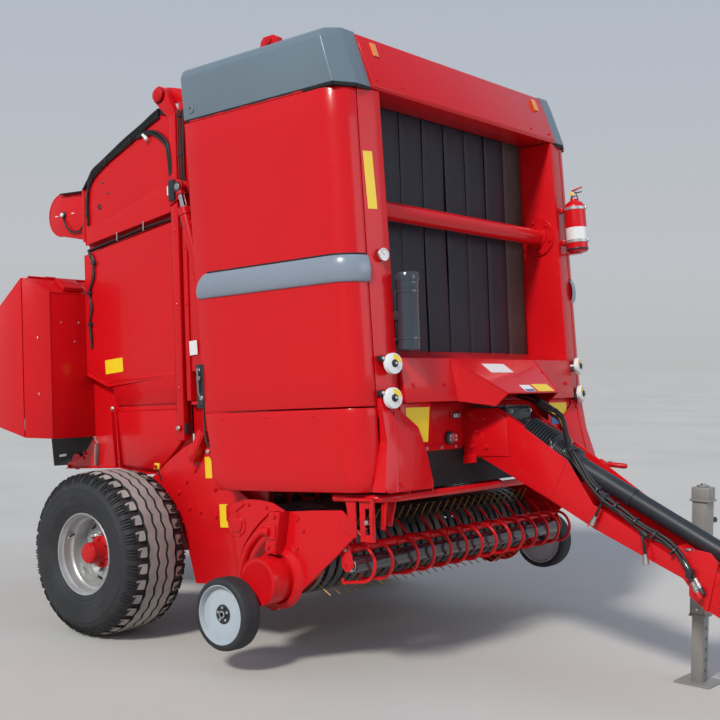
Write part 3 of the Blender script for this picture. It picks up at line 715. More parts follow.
    # bead line rings and valve
    for r, h in ((.2665, .1948), (.3000, .2002)): q.lathe(o, (1, 0, 0), [(r - .0012, h - .001), (r, h + .0010), (r + .0012, h - .0006)], TYRE, n=128, loop=True)
    q.done(sharp=30)
    # rim: flanges, bead seats, well, dished disc
    q = Part("rim_shell_" + side, "wheel_" + side, ("rim_" + side,), s)
    pr = [(.2178, .1665), (.2182, .1725), (.2150, .1765), (.2105, .1750), (.2078, .1680), (.2045, .1560), (.1990, .1480), (.1965, .1120), (.1925, .1040), (.1840, .0980), (.1800, .0880), (.1800, .0350), (.1800, -.0300), (.1840, -.0400), (.1960, -.0480), (.1985, -.1480), (.2045, -.1560), (.2078, -.1680), (.2105, -.1750), (.2150, -.1765), (.2182, -.1725), (.2178, -.1665),
          (.2125, -.1600), (.2080, -.1500), (.2030, -.1440), (.2010, -.0520), (.1890, -.0420), (.1845, -.0320), (.1845, .0880), (.1885, .0960), (.1990, .1020), (.2020, .1420), (.2080, .1500), (.2125, .1600)]
    q.lathe(o, (1, 0, 0), pr, SILVER, n=112, loop=True)
    # disc: cone with eight slots
    rows = [(.1805, .0250), (.1700, .0300), (.1600, .0345), (.1500, .0385), (.1380, .0425), (.1270, .0450), (.1150, .0458), (.0620, .0458)]; n = 64; G = []
    for r, h in rows:
        G.append([P(2 * math.pi * i / n, h, r) for i in range(n)])
    q.grid(G, SILVER, thick=.007, skip=lambda i, j: i in (2, 3) and (j % 8) in (1, 2, 3), closed_u=True, bevel=0)
    for k in range(8):
        t = 2 * math.pi * (k + .1) / 8; u = Vector((0, math.cos(t), math.sin(t)))
        b0 = o + u * .1025 + Vector((.0458, 0, 0)); q.cyl(b0, b0 + Vector((.004, 0, 0)), .0175, ZINC, n=20, bevel=.001); q.bolt(b0 + Vector((.004, 0, 0)), (1, 0, 0), ZINC, af=.024, h=.013, w=False); q.cyl(b0 + Vector((.016, 0, 0)), b0 + Vector((.024, 0, 0)), .0085, ZINC, n=14)
    # hub: flange with bosses, barrel, cap
    q.lathe(o, (1, 0, 0), [(.060, .0465), (.0855, .0465), (.0870, .049), (.0870, .057), (.0840, .0595), (.0600, .0620), (.0580, .0660), (.0560, .1380), (.0520, .1430), (.0500, .1430), (.0500, .1465), (.0440, .1495), (.0200, .1510), (0, .1512)], REDC, n=48)
    for k in range(6):
        t = 2 * math.pi * (k + .35) / 6; u = Vector((0, math.cos(t), math.sin(t))); b0 = o + u * .0690 + Vector((.0595, 0, 0)); q.cyl(b0 - Vector((.004, 0, 0)), b0 + Vector((.011, 0, 0)), .0135, REDC, n=18, bevel=.002); q.bolt(b0 + Vector((.011, 0, 0)), (1, 0, 0), REDC, af=.016, h=.007, w=False)
    for k in range(4):
        t = 2 * math.pi * k / 4; u = Vector((0, math.cos(t), math.sin(t))); q.bolt(o + u * .036 + Vector((.1495, 0, 0)), (1, 0, 0), REDC, af=.010, h=.004, w=False)
    q.lathe(o, (-1, 0, 0), [(.0390, -.046), (.0600, -.046), (.0600, .046), (.0700, .048), (.0700, .058), (.0390, .058)], REDC, n=40, loop=True)
    vv = o + Vector((.100, 0, 0)) + Vector((0, math.cos(.5), math.sin(.5))) * .190; q.tube(spline([vv, vv + Vector((.020, -.004, -.004)), vv + Vector((.045, -.016, -.010))], 5), .0042, BLACK, n=10); q.cyl(vv + Vector((.044, -.0155, -.0097)), vv + Vector((.058, -.021, -.0125)), .0045, ZINC, n=12)
    q.done(sharp=30)
for s, side in SIDES: tyre(s, side)

# ---------------------------------------------------------------- axle and chassis plates
p = Part("axle_beam_tube", "frame", ("axle_beam",))
p.box(-.848, .848, -.055, .055, AZ - .055, AZ + .055, REDC, bevel=.008, seg=3)
for s in (-1, 1):
    p.px([(-.09, .491), (-.09, .660), (.09, .660), (.09, .491)], min(s * .780, s * .848), max(s * .780, s * .848), RED, bevel=.004)
    p.rod(s * .848, s * .900, (0, AZ), .060, REDC, n=40); p.rod(s * .900, s * 1.010, (0, AZ), .0378, STEEL, n=32); p.ring(s * .898, s * .906, (0, AZ), .075, .038, REDC, n=40)
    for y in (-.07, .07):
        p.tube(fillet([(s * .815, y, .60), (s * .815, y, .372), (s * .815, -y, .372), (s * .815, -y, .60)], .022, 6), .009, ZINC, n=10)
    for x in (s * .790, s * .840): p.box(min(x - .014, x + .014), max(x - .014, x + .014), -.09, .09, .368, .380, REDC)
p.done()
PL = [(-.450, .262), (-.372, .520), (-.300, .590), (.150, .590), (.150, .700), (-.110, .812), (-.285, .925), (-.375, .975), (-.470, 1.014), (-.600, 1.070), (-.720, 1.070), (-.720, .790), (-.850, .720), (-.930, .650), (-.930, .560), (-.812, .520), (-.812, .277)]
p = Part("chassis_plates", "frame", ("chassis_sides",))
for s in (-1, 1):
    f = fillet([(0, y, z) for y, z in PL + PL[:1]], .022, 3)[:-1]; p.px([(v.y, v.z) for v in f], s * .849, s * .8595, RED, bevel=.002)
    # folded stiffening edge along the top
    run = [(.150, .700), (-.110, .812), (-.285, .925), (-.375, .975), (-.470, 1.014)]
    for a, b in zip(run, run[1:]): p.extr([(s * .8495, a[0], a[1]), (s * .8495, b[0], b[1]), (s * .8495, b[0] - .004, b[1] - .009), (s * .8495, a[0] - .004, a[1] - .009)], (-s * .046, 0, 0), RED, bevel=0)
    p.px([(-.840, .540), (-.840, .700), (-.440, .700), (-.440, .540)], s * .803, s * .849, RED, bevel=.004)
    p.px([(-.700, .850), (-.700, 1.040), (-.560, 1.040), (-.440, .970), (-.440, .850)], s * .803, s * .849, RED, bevel=.004)
    # sloping box bracket behind the shield, and the reinforcing plate with its bolts
    u = Vector((0, -.52, .854)); w = Vector((0, .854, .52)); c = Vector((s * .8595, -.532, .996))
    p.extr([c + u * .083 + w * .024, c + u * .083 - w * .030, c - u * .092 - w * .030, c - u * .092 + w * .024], (s * .052, 0, 0), RED, bevel=.005)
    p.extr([c + u * .072 + w * .016 + Vector((s * .052, 0, 0)), c + u * .072 - w * .022 + Vector((s * .052, 0, 0)), c - u * .080 - w * .022 + Vector((s * .052, 0, 0)), c - u * .080 + w * .016 + Vector((s * .052, 0, 0))], (s * .004, 0, 0), RED, bevel=.002)
    for y, z in ((-.47, .86), (-.40, .80), (-.34, .74), (-.50, .64), (-.62, .62), (-.74, .66), (-.62, .76), (-.42, .66), (-.25, .66), (0, .645), (.09, .63), (-.66, .98), (-.44, .92)):
        p.bolt((s * .8598, y, z), (s, 0, 0), RED, af=.020, h=.009)
    p.px([(-.90, .53), (-.83, .53), (-.70, .60), (-.70, .68), (-.80, .70), (-.90, .65)], s * .8595, s * .866, RED, bevel=.003)
    p.rod(s * .860, s * .994, (-.900, .600), .0196, REDC, n=24); p.lathe((s * .986, -.900, .600), (s, 0, 0), [(.030, 0), (.033, .003), (.033, .010), (.024, .013), (0, .013)], RED, n=28)
    # mudflap-like guard plate inside the wheel, and a grease line
    p.tube(spline([(s * .862, -.20, .800), (s * .870, -.185, .850), (s * .868, -.172, .882), (s * .864, -.165, .90)], 6), .0035, HOSE, n=8)
    p.px([(-.150, .862), (-.190, .862), (-.195, .895), (-.155, .898)], s * .8598, s * .872, YELLOW, bevel=.003); p.cyl((s * .872, -.172, .879), (s * .884, -.172, .879), .010, REDC, n=18)
# films
label(p, (-.8596, -.573, .874), (-1, 0, 0), (0, .03, 1), .049, .112, YELLOW); label(p, (-.8596, -.680, .624), (-1, 0, 0), (0, .03, 1), .062, .120, YELLOW)
p.done()

# ---------------------------------------------------------------- bumper tube with its hangers
p = Part("bumper_tube", "frame", ("bumper_bar",))
p.tube(fillet([(-1.000, -1.560, .748), (-.960, -1.790, .742), (-.880, -1.832, .742), (.880, -1.832, .742), (.960, -1.790, .742), (1.000, -1.560, .748)], .06, 8), .0180, RED, n=24)
for s in (-1, 1):
    f = [(-1.800, .552), (-1.800, .742), (-1.720, .742), (-1.720, .552)]
    a, b = s * 1.007, s * 1.016
    # slotted guide plate, built as a frame round its slot
    for q4 in ([(-1.800, .552), (-1.800, .742), (-1.776, .742), (-1.776, .552)], [(-1.749, .552), (-1.749, .742), (-1.720, .742), (-1.720, .552)], [(-1.776, .552), (-1.776, .584), (-1.749, .584), (-1.749, .552)], [(-1.776, .702), (-1.776, .742), (-1.749, .742), (-1.749, .702)]): p.px(q4, a, b, RED, bevel=.0015)
    p.box(min(s * 1.007, s * 1.030), max(s * 1.007, s * 1.030), -1.803, -1.797, .552, .742, RED, bevel=.001)
    p.px([(-1.700, .570), (-1.700, .742), (-1.640, .742), (-1.670, .570)], s * 1.012, s * 1.020, RED)
    p.px([(-1.800, .736), (-1.800, .749), (-1.640, .749), (-1.640, .736)], s * .996, s * 1.030, RED)
    p.cyl((s * 1.000, -1.7625, .64), (s * 1.026, -1.7625, .64), .011, ZINC, n=20)
    # cross plates from the tube down to the guard, as seen at its right end
    p.px([(-1.815, .728), (-1.785, .728), (-1.775, .600), (-1.800, .600)], s * .930, s * .938, RED); p.px([(-1.820, .728), (-1.760, .728), (-1.760, .610), (-1.790, .610)], s * .868, s * .876, RED)
    for x in (.62, .80): p.px([(-1.815, .752), (-1.845, .752), (-1.850, .80), (-1.815, .80)], s * x - .004, s * x + .004, RED)
p.done()

# ---------------------------------------------------------------- drawbar
TL = [(-1.712, 1.139), (-1.920, 1.133), (-2.300, .873), (-2.430, .664), (-2.830, .430), (-2.830, .493), (-3.120, .320)]
TF = [(-1.712, 1.139), (-1.920, 1.133), (-2.300, .873), (-2.830, .493), (-3.120, .320)]
BL = [(-3.120, .130), (-2.960, .215), (-2.860, .345), (-2.435, .548), (-2.200, .681), (-1.806, .889), (-1.712, .889)]
p = Part("drawbar_plates", "frame", ("drawbar",))
def sidep(top): return [(v.y, v.z) for v in fillet([(0, y, z) for y, z in top + BL + top[:1]], .014, 3)[:-1]]
p.px(sidep(TL), -.150, -.1395, RED, bevel=.0025); p.px(sidep(TF), .1395, .150, RED, bevel=.0025)
BI = [(-1.712, .892), (-1.806, .890), (-2.200, .682), (-2.435, .549), (-2.860, .346), (-2.960, .216), (-3.119, .131)]
p.px([(y, z) for y, z in BI] + [(-3.119, .141), (-2.957, .228), (-2.857, .357), (-2.432, .560), (-2.197, .693), (-1.803, .901), (-1.712, .902)], -.1395, .1395, RED, bevel=0)
p.px([(-3.1195, .142), (-3.1195, .300), (-3.108, .300), (-3.108, .148)], -.1395, .1395, RED)
# top plates that close the box at the rear and the head
p.px([(-1.925, 1.125), (-2.05, 1.037), (-2.05, 1.030), (-1.925, 1.117)], -.1395, -.100, RED, bevel=0)
p.px([(-2.834, .486), (-3.118, .317), (-3.118, .309), (-2.834, .478)], -.1395, .1395, RED, bevel=.001)
p.px([(-2.834, .486), (-2.834, .420), (-2.826, .416), (-2.826, .486)], -.1395, .1395, RED, bevel=.001)
# folded line, seams and the joint plate on the visible side
for s in (-1, 1):
    p.tube([(s * .1505, -2.475, .634), (s * .1505, -2.395, .560)], .0022, RED, n=6); p.tube([(s * .1505, -2.300, .868), (s * .1505, -2.205, .690)], .0016, RED, n=6)
    p.px([(-1.712, 1.133), (-1.905, 1.128), (-1.980, 1.077), (-1.980, .893), (-1.712, .893)], s * .150, s * .1575, RED, bevel=.002)
    for y, z in ((-1.765, 1.105), (-1.840, 1.085), (-1.765, .945), (-1.850, .940), (-1.80, 1.02)): p.bolt((s * .1578, y, z), (s, 0, 0), RED, af=.020, h=.008)
    for y, z in ((-2.90, .40), (-3.02, .335), (-3.02, .235), (-2.93, .285)): p.bolt((s * .150, y, z), (s, 0, 0), RED, af=.018, h=.007, w=False)
    # bottom lips
    for a, b in zip(BL[1:6], BL[2:]): pass
for y0, z0, y1, z1 in ((-2.00, .80, -2.00, .95), (-2.30, .64, -2.30, .76), (-2.62, .47, -2.62, .53)): p.box(-.1395, .1395, y0 - .004, y0 + .004, z0, z1, RED)
# bracket under the beam with its bolts
p.box(-.146, .146, -1.722, -1.700, .880, .950, RED, bevel=.003)
for s in (-1, 1): p.px([(-1.712, .905), (-1.79, .905), (-1.79, .862), (-1.712, .855)], min(s * .1575, s * .165), max(s * .1575, s * .165), RED)
# shaft rest hook and lever with a red grip
p.px([(-2.350, .800), (-2.350, .845), (-2.325, .862), (-2.300, .862), (-2.300, .780)], .1505, .160, RED, bevel=.001)
p.cyl((.160, -2.325, .842), (.215, -2.350, .842), .007, STEEL, n=12); p.lathe((.160, -2.350, .836), (.25, -.90, -.12), [(0, 0), (.010, .002), (.0135, .012), (.0135, .085), (.010, .098), (0, .102)], REDC, n=20)
p.px([(-2.895, 0.463), (-2.935, 0.477), (-2.997, 0.465), (-3.031, 0.426), (-2.971, 0.203), (-2.932, 0.239), (-2.888, 0.273), (-2.894, 0.349)], -.1575, -.150, RED, bevel=.002)
# jack mounting plates
p.px([(-2.700, .332), (-2.700, .558), (-2.860, .460), (-2.860, .332)], .150, .1715, RED, bevel=.003)
for z in (.36, .46): p.box(.160, .190, -2.835, -2.745, z - .006, z + .006, RED)
p.done(sharp=25)
# hitch
p = Part("hitch_clevis_forging", "frame", ("hitch_clevis",))
p.box(-.060, .060, -3.149, -3.120, .146, .289, RUSTY, bevel=.006, seg=3)
for z0, z1 in ((.146, .174), (.256, .284)):
    n = 28; ring = [(.050 * math.cos(t), -3.262 - .050 * math.sin(t)) for t in [math.pi * i / n for i in range(n + 1)]]; pts = [(.050, -3.149)] + ring + [(-.050, -3.149)]
    hole = [(.0165 * math.cos(2 * math.pi * i / 32), -3.262 + .0165 * math.sin(2 * math.pi * i / 32)) for i in range(32)]
    bm = bmesh.new(); o = [bm.verts.new((x, y, z1)) for x, y in pts]; h = [bm.verts.new((x, y, z1)) for x, y in hole]
    es = [bm.edges.new((o[i], o[(i + 1) % len(o)])) for i in range(len(o))] + [bm.edges.new((h[i], h[(i + 1) % 32])) for i in range(32)]
    bmesh.ops.triangle_fill(bm, use_beauty=True, use_dissolve=False, edges=es)
    r = bmesh.ops.extrude_face_region(bm, geom=bm.faces[:]); bmesh.ops.translate(bm, vec=(0, 0, z0 - z1), verts=[v for v in r["geom"] if isinstance(v, bmesh.types.BMVert)])
    p._add(bm, RUSTY)
for x in (-.042, .042):
    for z in (.165, .270): p.bolt((x, -3.149, z - .0), (0, -1, 0), ZINC, af=.018, h=.010) if abs(z - .215) > .06 and abs(x) > .05 else None
for x in (-.075, .075):
    for z in (.175, .262): p.bolt((x, -3.1195, z), (0, -1, 0), ZINC, af=.022, h=.012)
p.box(-.100, .100, -3.1235, -3.1195, .150, .288, RED, bevel=.001)
p.done()

# ---------------------------------------------------------------- PTO shaft: bellows, tube, end cone, chains, joint
p = Part("pto_bellows_guard", "frame", ("pto_guard",))
L = (PB0 - PA0).length; pr = [(.058, .0145), (.0905, .0145)]
h = .0165; k = 0
while h < .178:
    pr += [(.0910, h), (.0918, h + .003), (.0905, h + .0055), (.0800, h + .0085), (.0800, h + .0105), (.0905, h + .0135)]; h += .0165
pr += [(.0700, .190), (.0700, .200)]; h = .2005
while h < .318:
    pr += [(.0712, h), (.0718, h + .0025), (.0712, h + .005), (.0640, h + .0075), (.0640, h + .0095)]; h += .0125
pr += [(.0560, .326), (.0500, .334), (.0470, .340), (.0462, .360), (.0462, L * .545), (.0440, L * .546), (.0440, L - .012), (.0500, L - .008), (.0590, L + .004), (.0595, L + .050), (.0575, L + .057), (.0490, L + .057), (.0480, L + .010), (.0300, L + .006), (.0300, .030), (.0400, .020)]
p.lathe(PA0, PD, pr, BLACK, n=56, loop=True)
side = Vector((1, 0, 0)); upn = side.cross(PD) * -1.0; upn = upn if upn.z > 0 else -upn
def around(h, t, r): return PA0 + PD * h + (side * math.cos(t) + upn * math.sin(t)) * r
for a, b in ((.345, .349), (L * .545 - .020, L * .545), (L - .05, L - .046)): p.lathe(PA0 + PD * a, PD, [(.0470, 0), (.0490, .001), (.0490, b - a + .008), (.0470, b - a + .009)], BLACK, n=48)
p.done(sharp=40)
def chain(part, pts, mat, link=.017, r=.0021):
    P = spline(pts, 16); d = [0]
    for a, b in zip(P, P[1:]): d.append(d[-1] + (b - a).length)
    n = int(d[-1] / (link * .74)); j = 0
    for i in range(n):
        t = d[-1] * (i + .5) / n
        while j < len(P) - 2 and d[j + 1] < t: j += 1
        c = P[j].lerp(P[j + 1], (t - d[j]) / max(1e-6, d[j + 1] - d[j])); u = (P[j + 1] - P[j]).normalized(); v = u.orthogonal().normalized()
        if i % 2: v = u.cross(v)
        ring = [c + u * (link / 2 - r * 2.2) * (1 if math.cos(a) > 0 else -1) + (u * math.cos(a) + v * math.sin(a)) * r * 2.2 for a in [2 * math.pi * k / 12 for k in range(12)]]
        part.tube(ring, r, mat, n=6, closed=True)
p = Part("pto_guard_chains", "frame")
chain(p, [around(.175, 2.5, .095), around(.215, 2.9, .100), around(.250, 3.3, .092), around(.262, 3.9, .085)], STEEL)
chain(p, [around(.190, .9, .088), around(.235, 1.3, .086), around(.262, 1.9, .082), around(.268, 2.6, .080)], STEEL)
chain(p, [around(L - .02, 3.5, .062), around(L - .10, 3.9, .085), Vector((-.120, -2.90, .470)), Vector((-.136, -2.86, .468))], STEEL)
p.done()
p = Part("pto_end_joint", "frame", ("pto_yoke",))
J = PB0 + PD * .100
# inner fork
p.lathe(PB0 + PD * .0585, PD, [(0, 0), (.0255, 0), (.0255, .014), (0, .014)], STEEL, n=32)
for sg in (-1, 1):
    p.extr([PB0 + PD * .066 + side * sg * .012 + upn * .017 * e for e in (-1, 1)] + [PB0 + PD * .112 + side * sg * .012 + upn * .017 * e for e in (1, -1)], side * sg * .014, STEEL, bevel=.003)
    p.cyl(J + side * sg * .010, J + side * sg * .0345, .0115, STEEL, n=24); p.cyl(J + Vector((0, 0, sg * .010)), J + Vector((0, 0, sg * .0345)), .0115, STEEL, n=24)
    p.extr([J + Vector((x, y, sg * .014)) for x, y in ((-.017, .014), (.017, .014), (.022, -.040), (-.022, -.040))], (0, 0, sg * .014), STEEL, bevel=.003)
p.dome(J - side * .014, (1, 0, 0), .013, .028, STEEL)
p.lathe(J + Vector((0, -.034, 0)), (0, -1, 0), [(.0176, 0), (.0300, 0), (.0335, .004), (.0340, .030), (.0340, .046), (.0320, .048), (.0320, .052), (.0340, .054), (.0340, .074), (.0310, .0808), (.0176, .0808)], STEEL, n=48, loop=True)
p.lathe(J + Vector((0, -.0335, 0)), (0, -1, 0), [(0, 0), (.0300, 0), (.0300, .002), (0, .002)], STEEL, n=32)
for k in range(6):
    t = k * math.pi / 3; a = J + Vector((.0168 * math.cos(t), -.040, .0168 * math.sin(t))); p.cyl(a, a + Vector((0, -.074, 0)), .0030, STEEL, n=8, bevel=0)
p.cyl(J + Vector((0, -.083, .030)), J + Vector((0, -.083, .0395)), .0075, ZINC, n=16)
p.done()

# ---------------------------------------------------------------- jack, upright on the parked machine
JX, JYW = .235, ROW_Y - 2.790 * math.cos(TH); MI = M.inverted()
def jp(x, y, z): return MI @ Vector((JX + x, JYW + y, z))
JD = [(MI.to_3x3() @ Vector(v)) for v in ((1, 0, 0), (0, 1, 0), (0, 0, 1))]
def jbox(part, x0, x1, y0, y1, z0, z1, mat, bevel=.002, seg=2): part.extr([jp(x0, y0, z0), jp(x1, y0, z0), jp(x1, y1, z0), jp(x0, y1, z0)], JD[2] * (z1 - z0), mat, bevel=bevel, seg=seg)
def jtube(part, r0, r1, z0, z1, mat):
    for x0, x1, y0, y1 in ((-r1, r1, -r1, -r0), (-r1, r1, r0, r1), (-r1, -r0, -r0, r0), (r0, r1, -r0, r0)): jbox(part, x0, x1, y0, y1, z0, z1, mat, bevel=.0012)
p = Part("jack_sleeve_box", "frame", ("jack_sleeve",))
jtube(p, .0306, .038, .316, .868, GREYP)
jbox(p, -.0425, .0425, -.0425, .0425, .868, .930, GREYP, bevel=.007, seg=3); jbox(p, -.048, .048, -.048, .048, .862, .872, GREYP)
jtube(p, .0306, .042, .316, .326, GREYP)
p.cyl(jp(0, 0, .930), jp(0, 0, .938), .030, GREYP, n=28); p.bolt(jp(0, 0, .938), JD[2], ZINC, af=.022, h=.008, w=False)
p.cyl(jp(.0425, 0, .902), jp(.060, 0, .902), .020, GREYP, n=28); p.cyl(jp(.045, 0, .902), jp(.084, 0, .902), .0098, STEEL, n=16)
p.tube(fillet([jp(.080, 0, .902), jp(.080, 0, .760), ], .02, 5), .0080, STEEL, n=14)
p.cyl(jp(.074, 0, .902), jp(.088, 0, .902), .015, STEEL, n=20); p.cyl(jp(.080, 0, .760), jp(.098, 0, .760), .0075, STEEL, n=14)
p.lathe(jp(.094, 0, .760), JD[0], [(0, 0), (.011, .001), (.0135, .008), (.0120, .030), (.0140, .050), (.0105, .058), (0, .059)], BLACK, n=24)
for z in (.615, .705):
    jbox(p, -.063, -.038, -.040, .040, z - .014, z + .014, RED, bevel=.003); p.bolt(jp(.038, 0, z), JD[0], ZINC, af=.018, h=.008)
jbox(p, -.0635, -.0385, -.040, .040, .600, .720, RED, bevel=.002)
for z in (.345, .38): p.bolt(jp(0, -.038, z), -JD[1], ZINC, af=.014, h=.006)
p.cyl(jp(-.046, 0, .352), jp(.052, 0, .352), .007, ZINC, n=16); p.tube([jp(.052, 0, .352) + (JD[1] * math.cos(t) + JD[2] * math.sin(t)) * .012 for t in [2 * math.pi * i / 16 for i in range(16)]], .0018, ZINC, n=6, closed=True)
p.done()
p = Part("jack_leg_tube", "jack_leg", ("jack_leg",))
jtube(p, .0245, .0297, .008, .507, GREYP); jbox(p, -.0297, .0297, -.0297, .0297, .500, .508, GREYP)
for k in range(5):
    for sg in (-1, 1): p.cyl(jp(0, sg * .0290, .06 + k * .05), jp(0, sg * .0300, .06 + k * .05), .0095, DARK, n=20, bevel=0)
jbox(p, -.090, .090, -.090, .090, .0004, .008, GREYP, bevel=.0025)
p.done()

# ---------------------------------------------------------------- hoses along the drawbar
HR = [(0.150, -1.845, 1.208), (0.112, -1.965, 1.180), (0.060, -2.080, 1.128), (0.000, -2.195, 1.075), (-0.080, -2.262, 1.000), (-0.142, -2.312, 0.932), (-0.172, -2.375, 0.858), (-0.172, -2.430, 0.772), (-0.172, -2.500, 0.700), (-0.172, -2.590, 0.636), (-0.172, -2.690, 0.566), (-0.172, -2.795, 0.508), (-0.172, -2.868, 0.438), (-0.172, -2.925, 0.335)]
p = Part("hose_bundle", "frame", ("hydraulic_hoses",))
rn = random.Random(11)
for k, (ox, oz, r, end) in enumerate(((.002, .016, .0066, 13), (-.013, .003, .0066, 13), (.012, -.004, .0064, 12), (-.004, -.016, .0062, 11), (.014, .013, .0044, 13), (-.017, -.013, .0038, 10))):
    pts = [Vector(v) + Vector((ox + rn.uniform(-.003, .003), rn.uniform(-.004, .004), oz + rn.uniform(-.004, .004))) for v in HR[:end + 1]]
    P_ = spline(pts, 9); ph = rn.uniform(0, 6)
    P_ = [v + Vector((.0035 * math.sin(i * .12 + ph), 0, .0035 * math.cos(i * .10 + ph))) for i, v in enumerate(P_)]
    p.tube(P_, r, HOSE, n=10)
    d = (P_[-1] - P_[-3]).normalized(); e = P_[-1]
    if r > .0062:
        p.lathe(e - d * .004, d, [(r * .9, 0), (.0105, .002), (.0105, .022), (.0125, .024), (.0125, .040), (.0105, .042), (.0105, .060), (.0085, .062), (.0085, .070), (0, .070)], STEEL if k % 2 else ZINC, n=18)
        p.lathe(e + d * .045, d, [(.0128, 0), (.0138, .002), (.0138, .030), (.0110, .034), (0, .034)], REDC if k == 1 else BLACK, n=20)
    else: p.lathe(e - d * .004, d, [(r * .9, 0), (.010, .002), (.0125, .010), (.0125, .036), (.009, .040), (0, .040)], BLACK, n=16)
for i, t in ((2, .5), (5, .2), (7, .5), (8, .6), (9, .6), (10, .5), (11, .5)):
    a, b = Vector(HR[i]), Vector(HR[i + 1]); c = a.lerp(b, t); d = (b - a).normalized()
    p.lathe(c, d, [(.0225, 0), (.0240, .001), (.0240, .009), (.0225, .010)], BLACK, n=20, loop=True)
# couplings that branch off, the yellow-brown cable and a red lanyard
for q0, q1, q2 in (((-0.176, -2.491, 0.676), (-0.186, -2.477, 0.645), (-0.186, -2.460, 0.615)), ((-0.176, -2.677, 0.553), (-0.186, -2.696, 0.505), (-0.186, -2.701, 0.451))):
    P_ = spline([q0, q1, q2], 6); p.tube(P_, .0062, HOSE, n=10); d = (P_[-1] - P_[-2]).normalized(); p.lathe(P_[-1], d, [(.006, 0), (.0105, .001), (.0105, .020), (.0135, .022), (.0135, .046), (.010, .050), (0, .050)], ZINC, n=18)
p.tube(spline([(.120, -1.930, 1.190), (.085, -2.050, 1.150), (.030, -2.150, 1.100), (-.070, -2.250, 1.010), (-.150, -2.330, .905), (-.184, -2.400, .800)], 9), .0042, TINE, n=8)
p.box(-.176, -.1505, -2.705, -2.675, .480, .560, REDC)
for y, z in ((-2.500, .700), (-2.905, .372)): p.px([(y - .014, z - .022), (y + .014, z - .014), (y + .010, z + .024), (y - .018, z + .018)], -.196, -.150, BLACK, bevel=.003)
p.done()

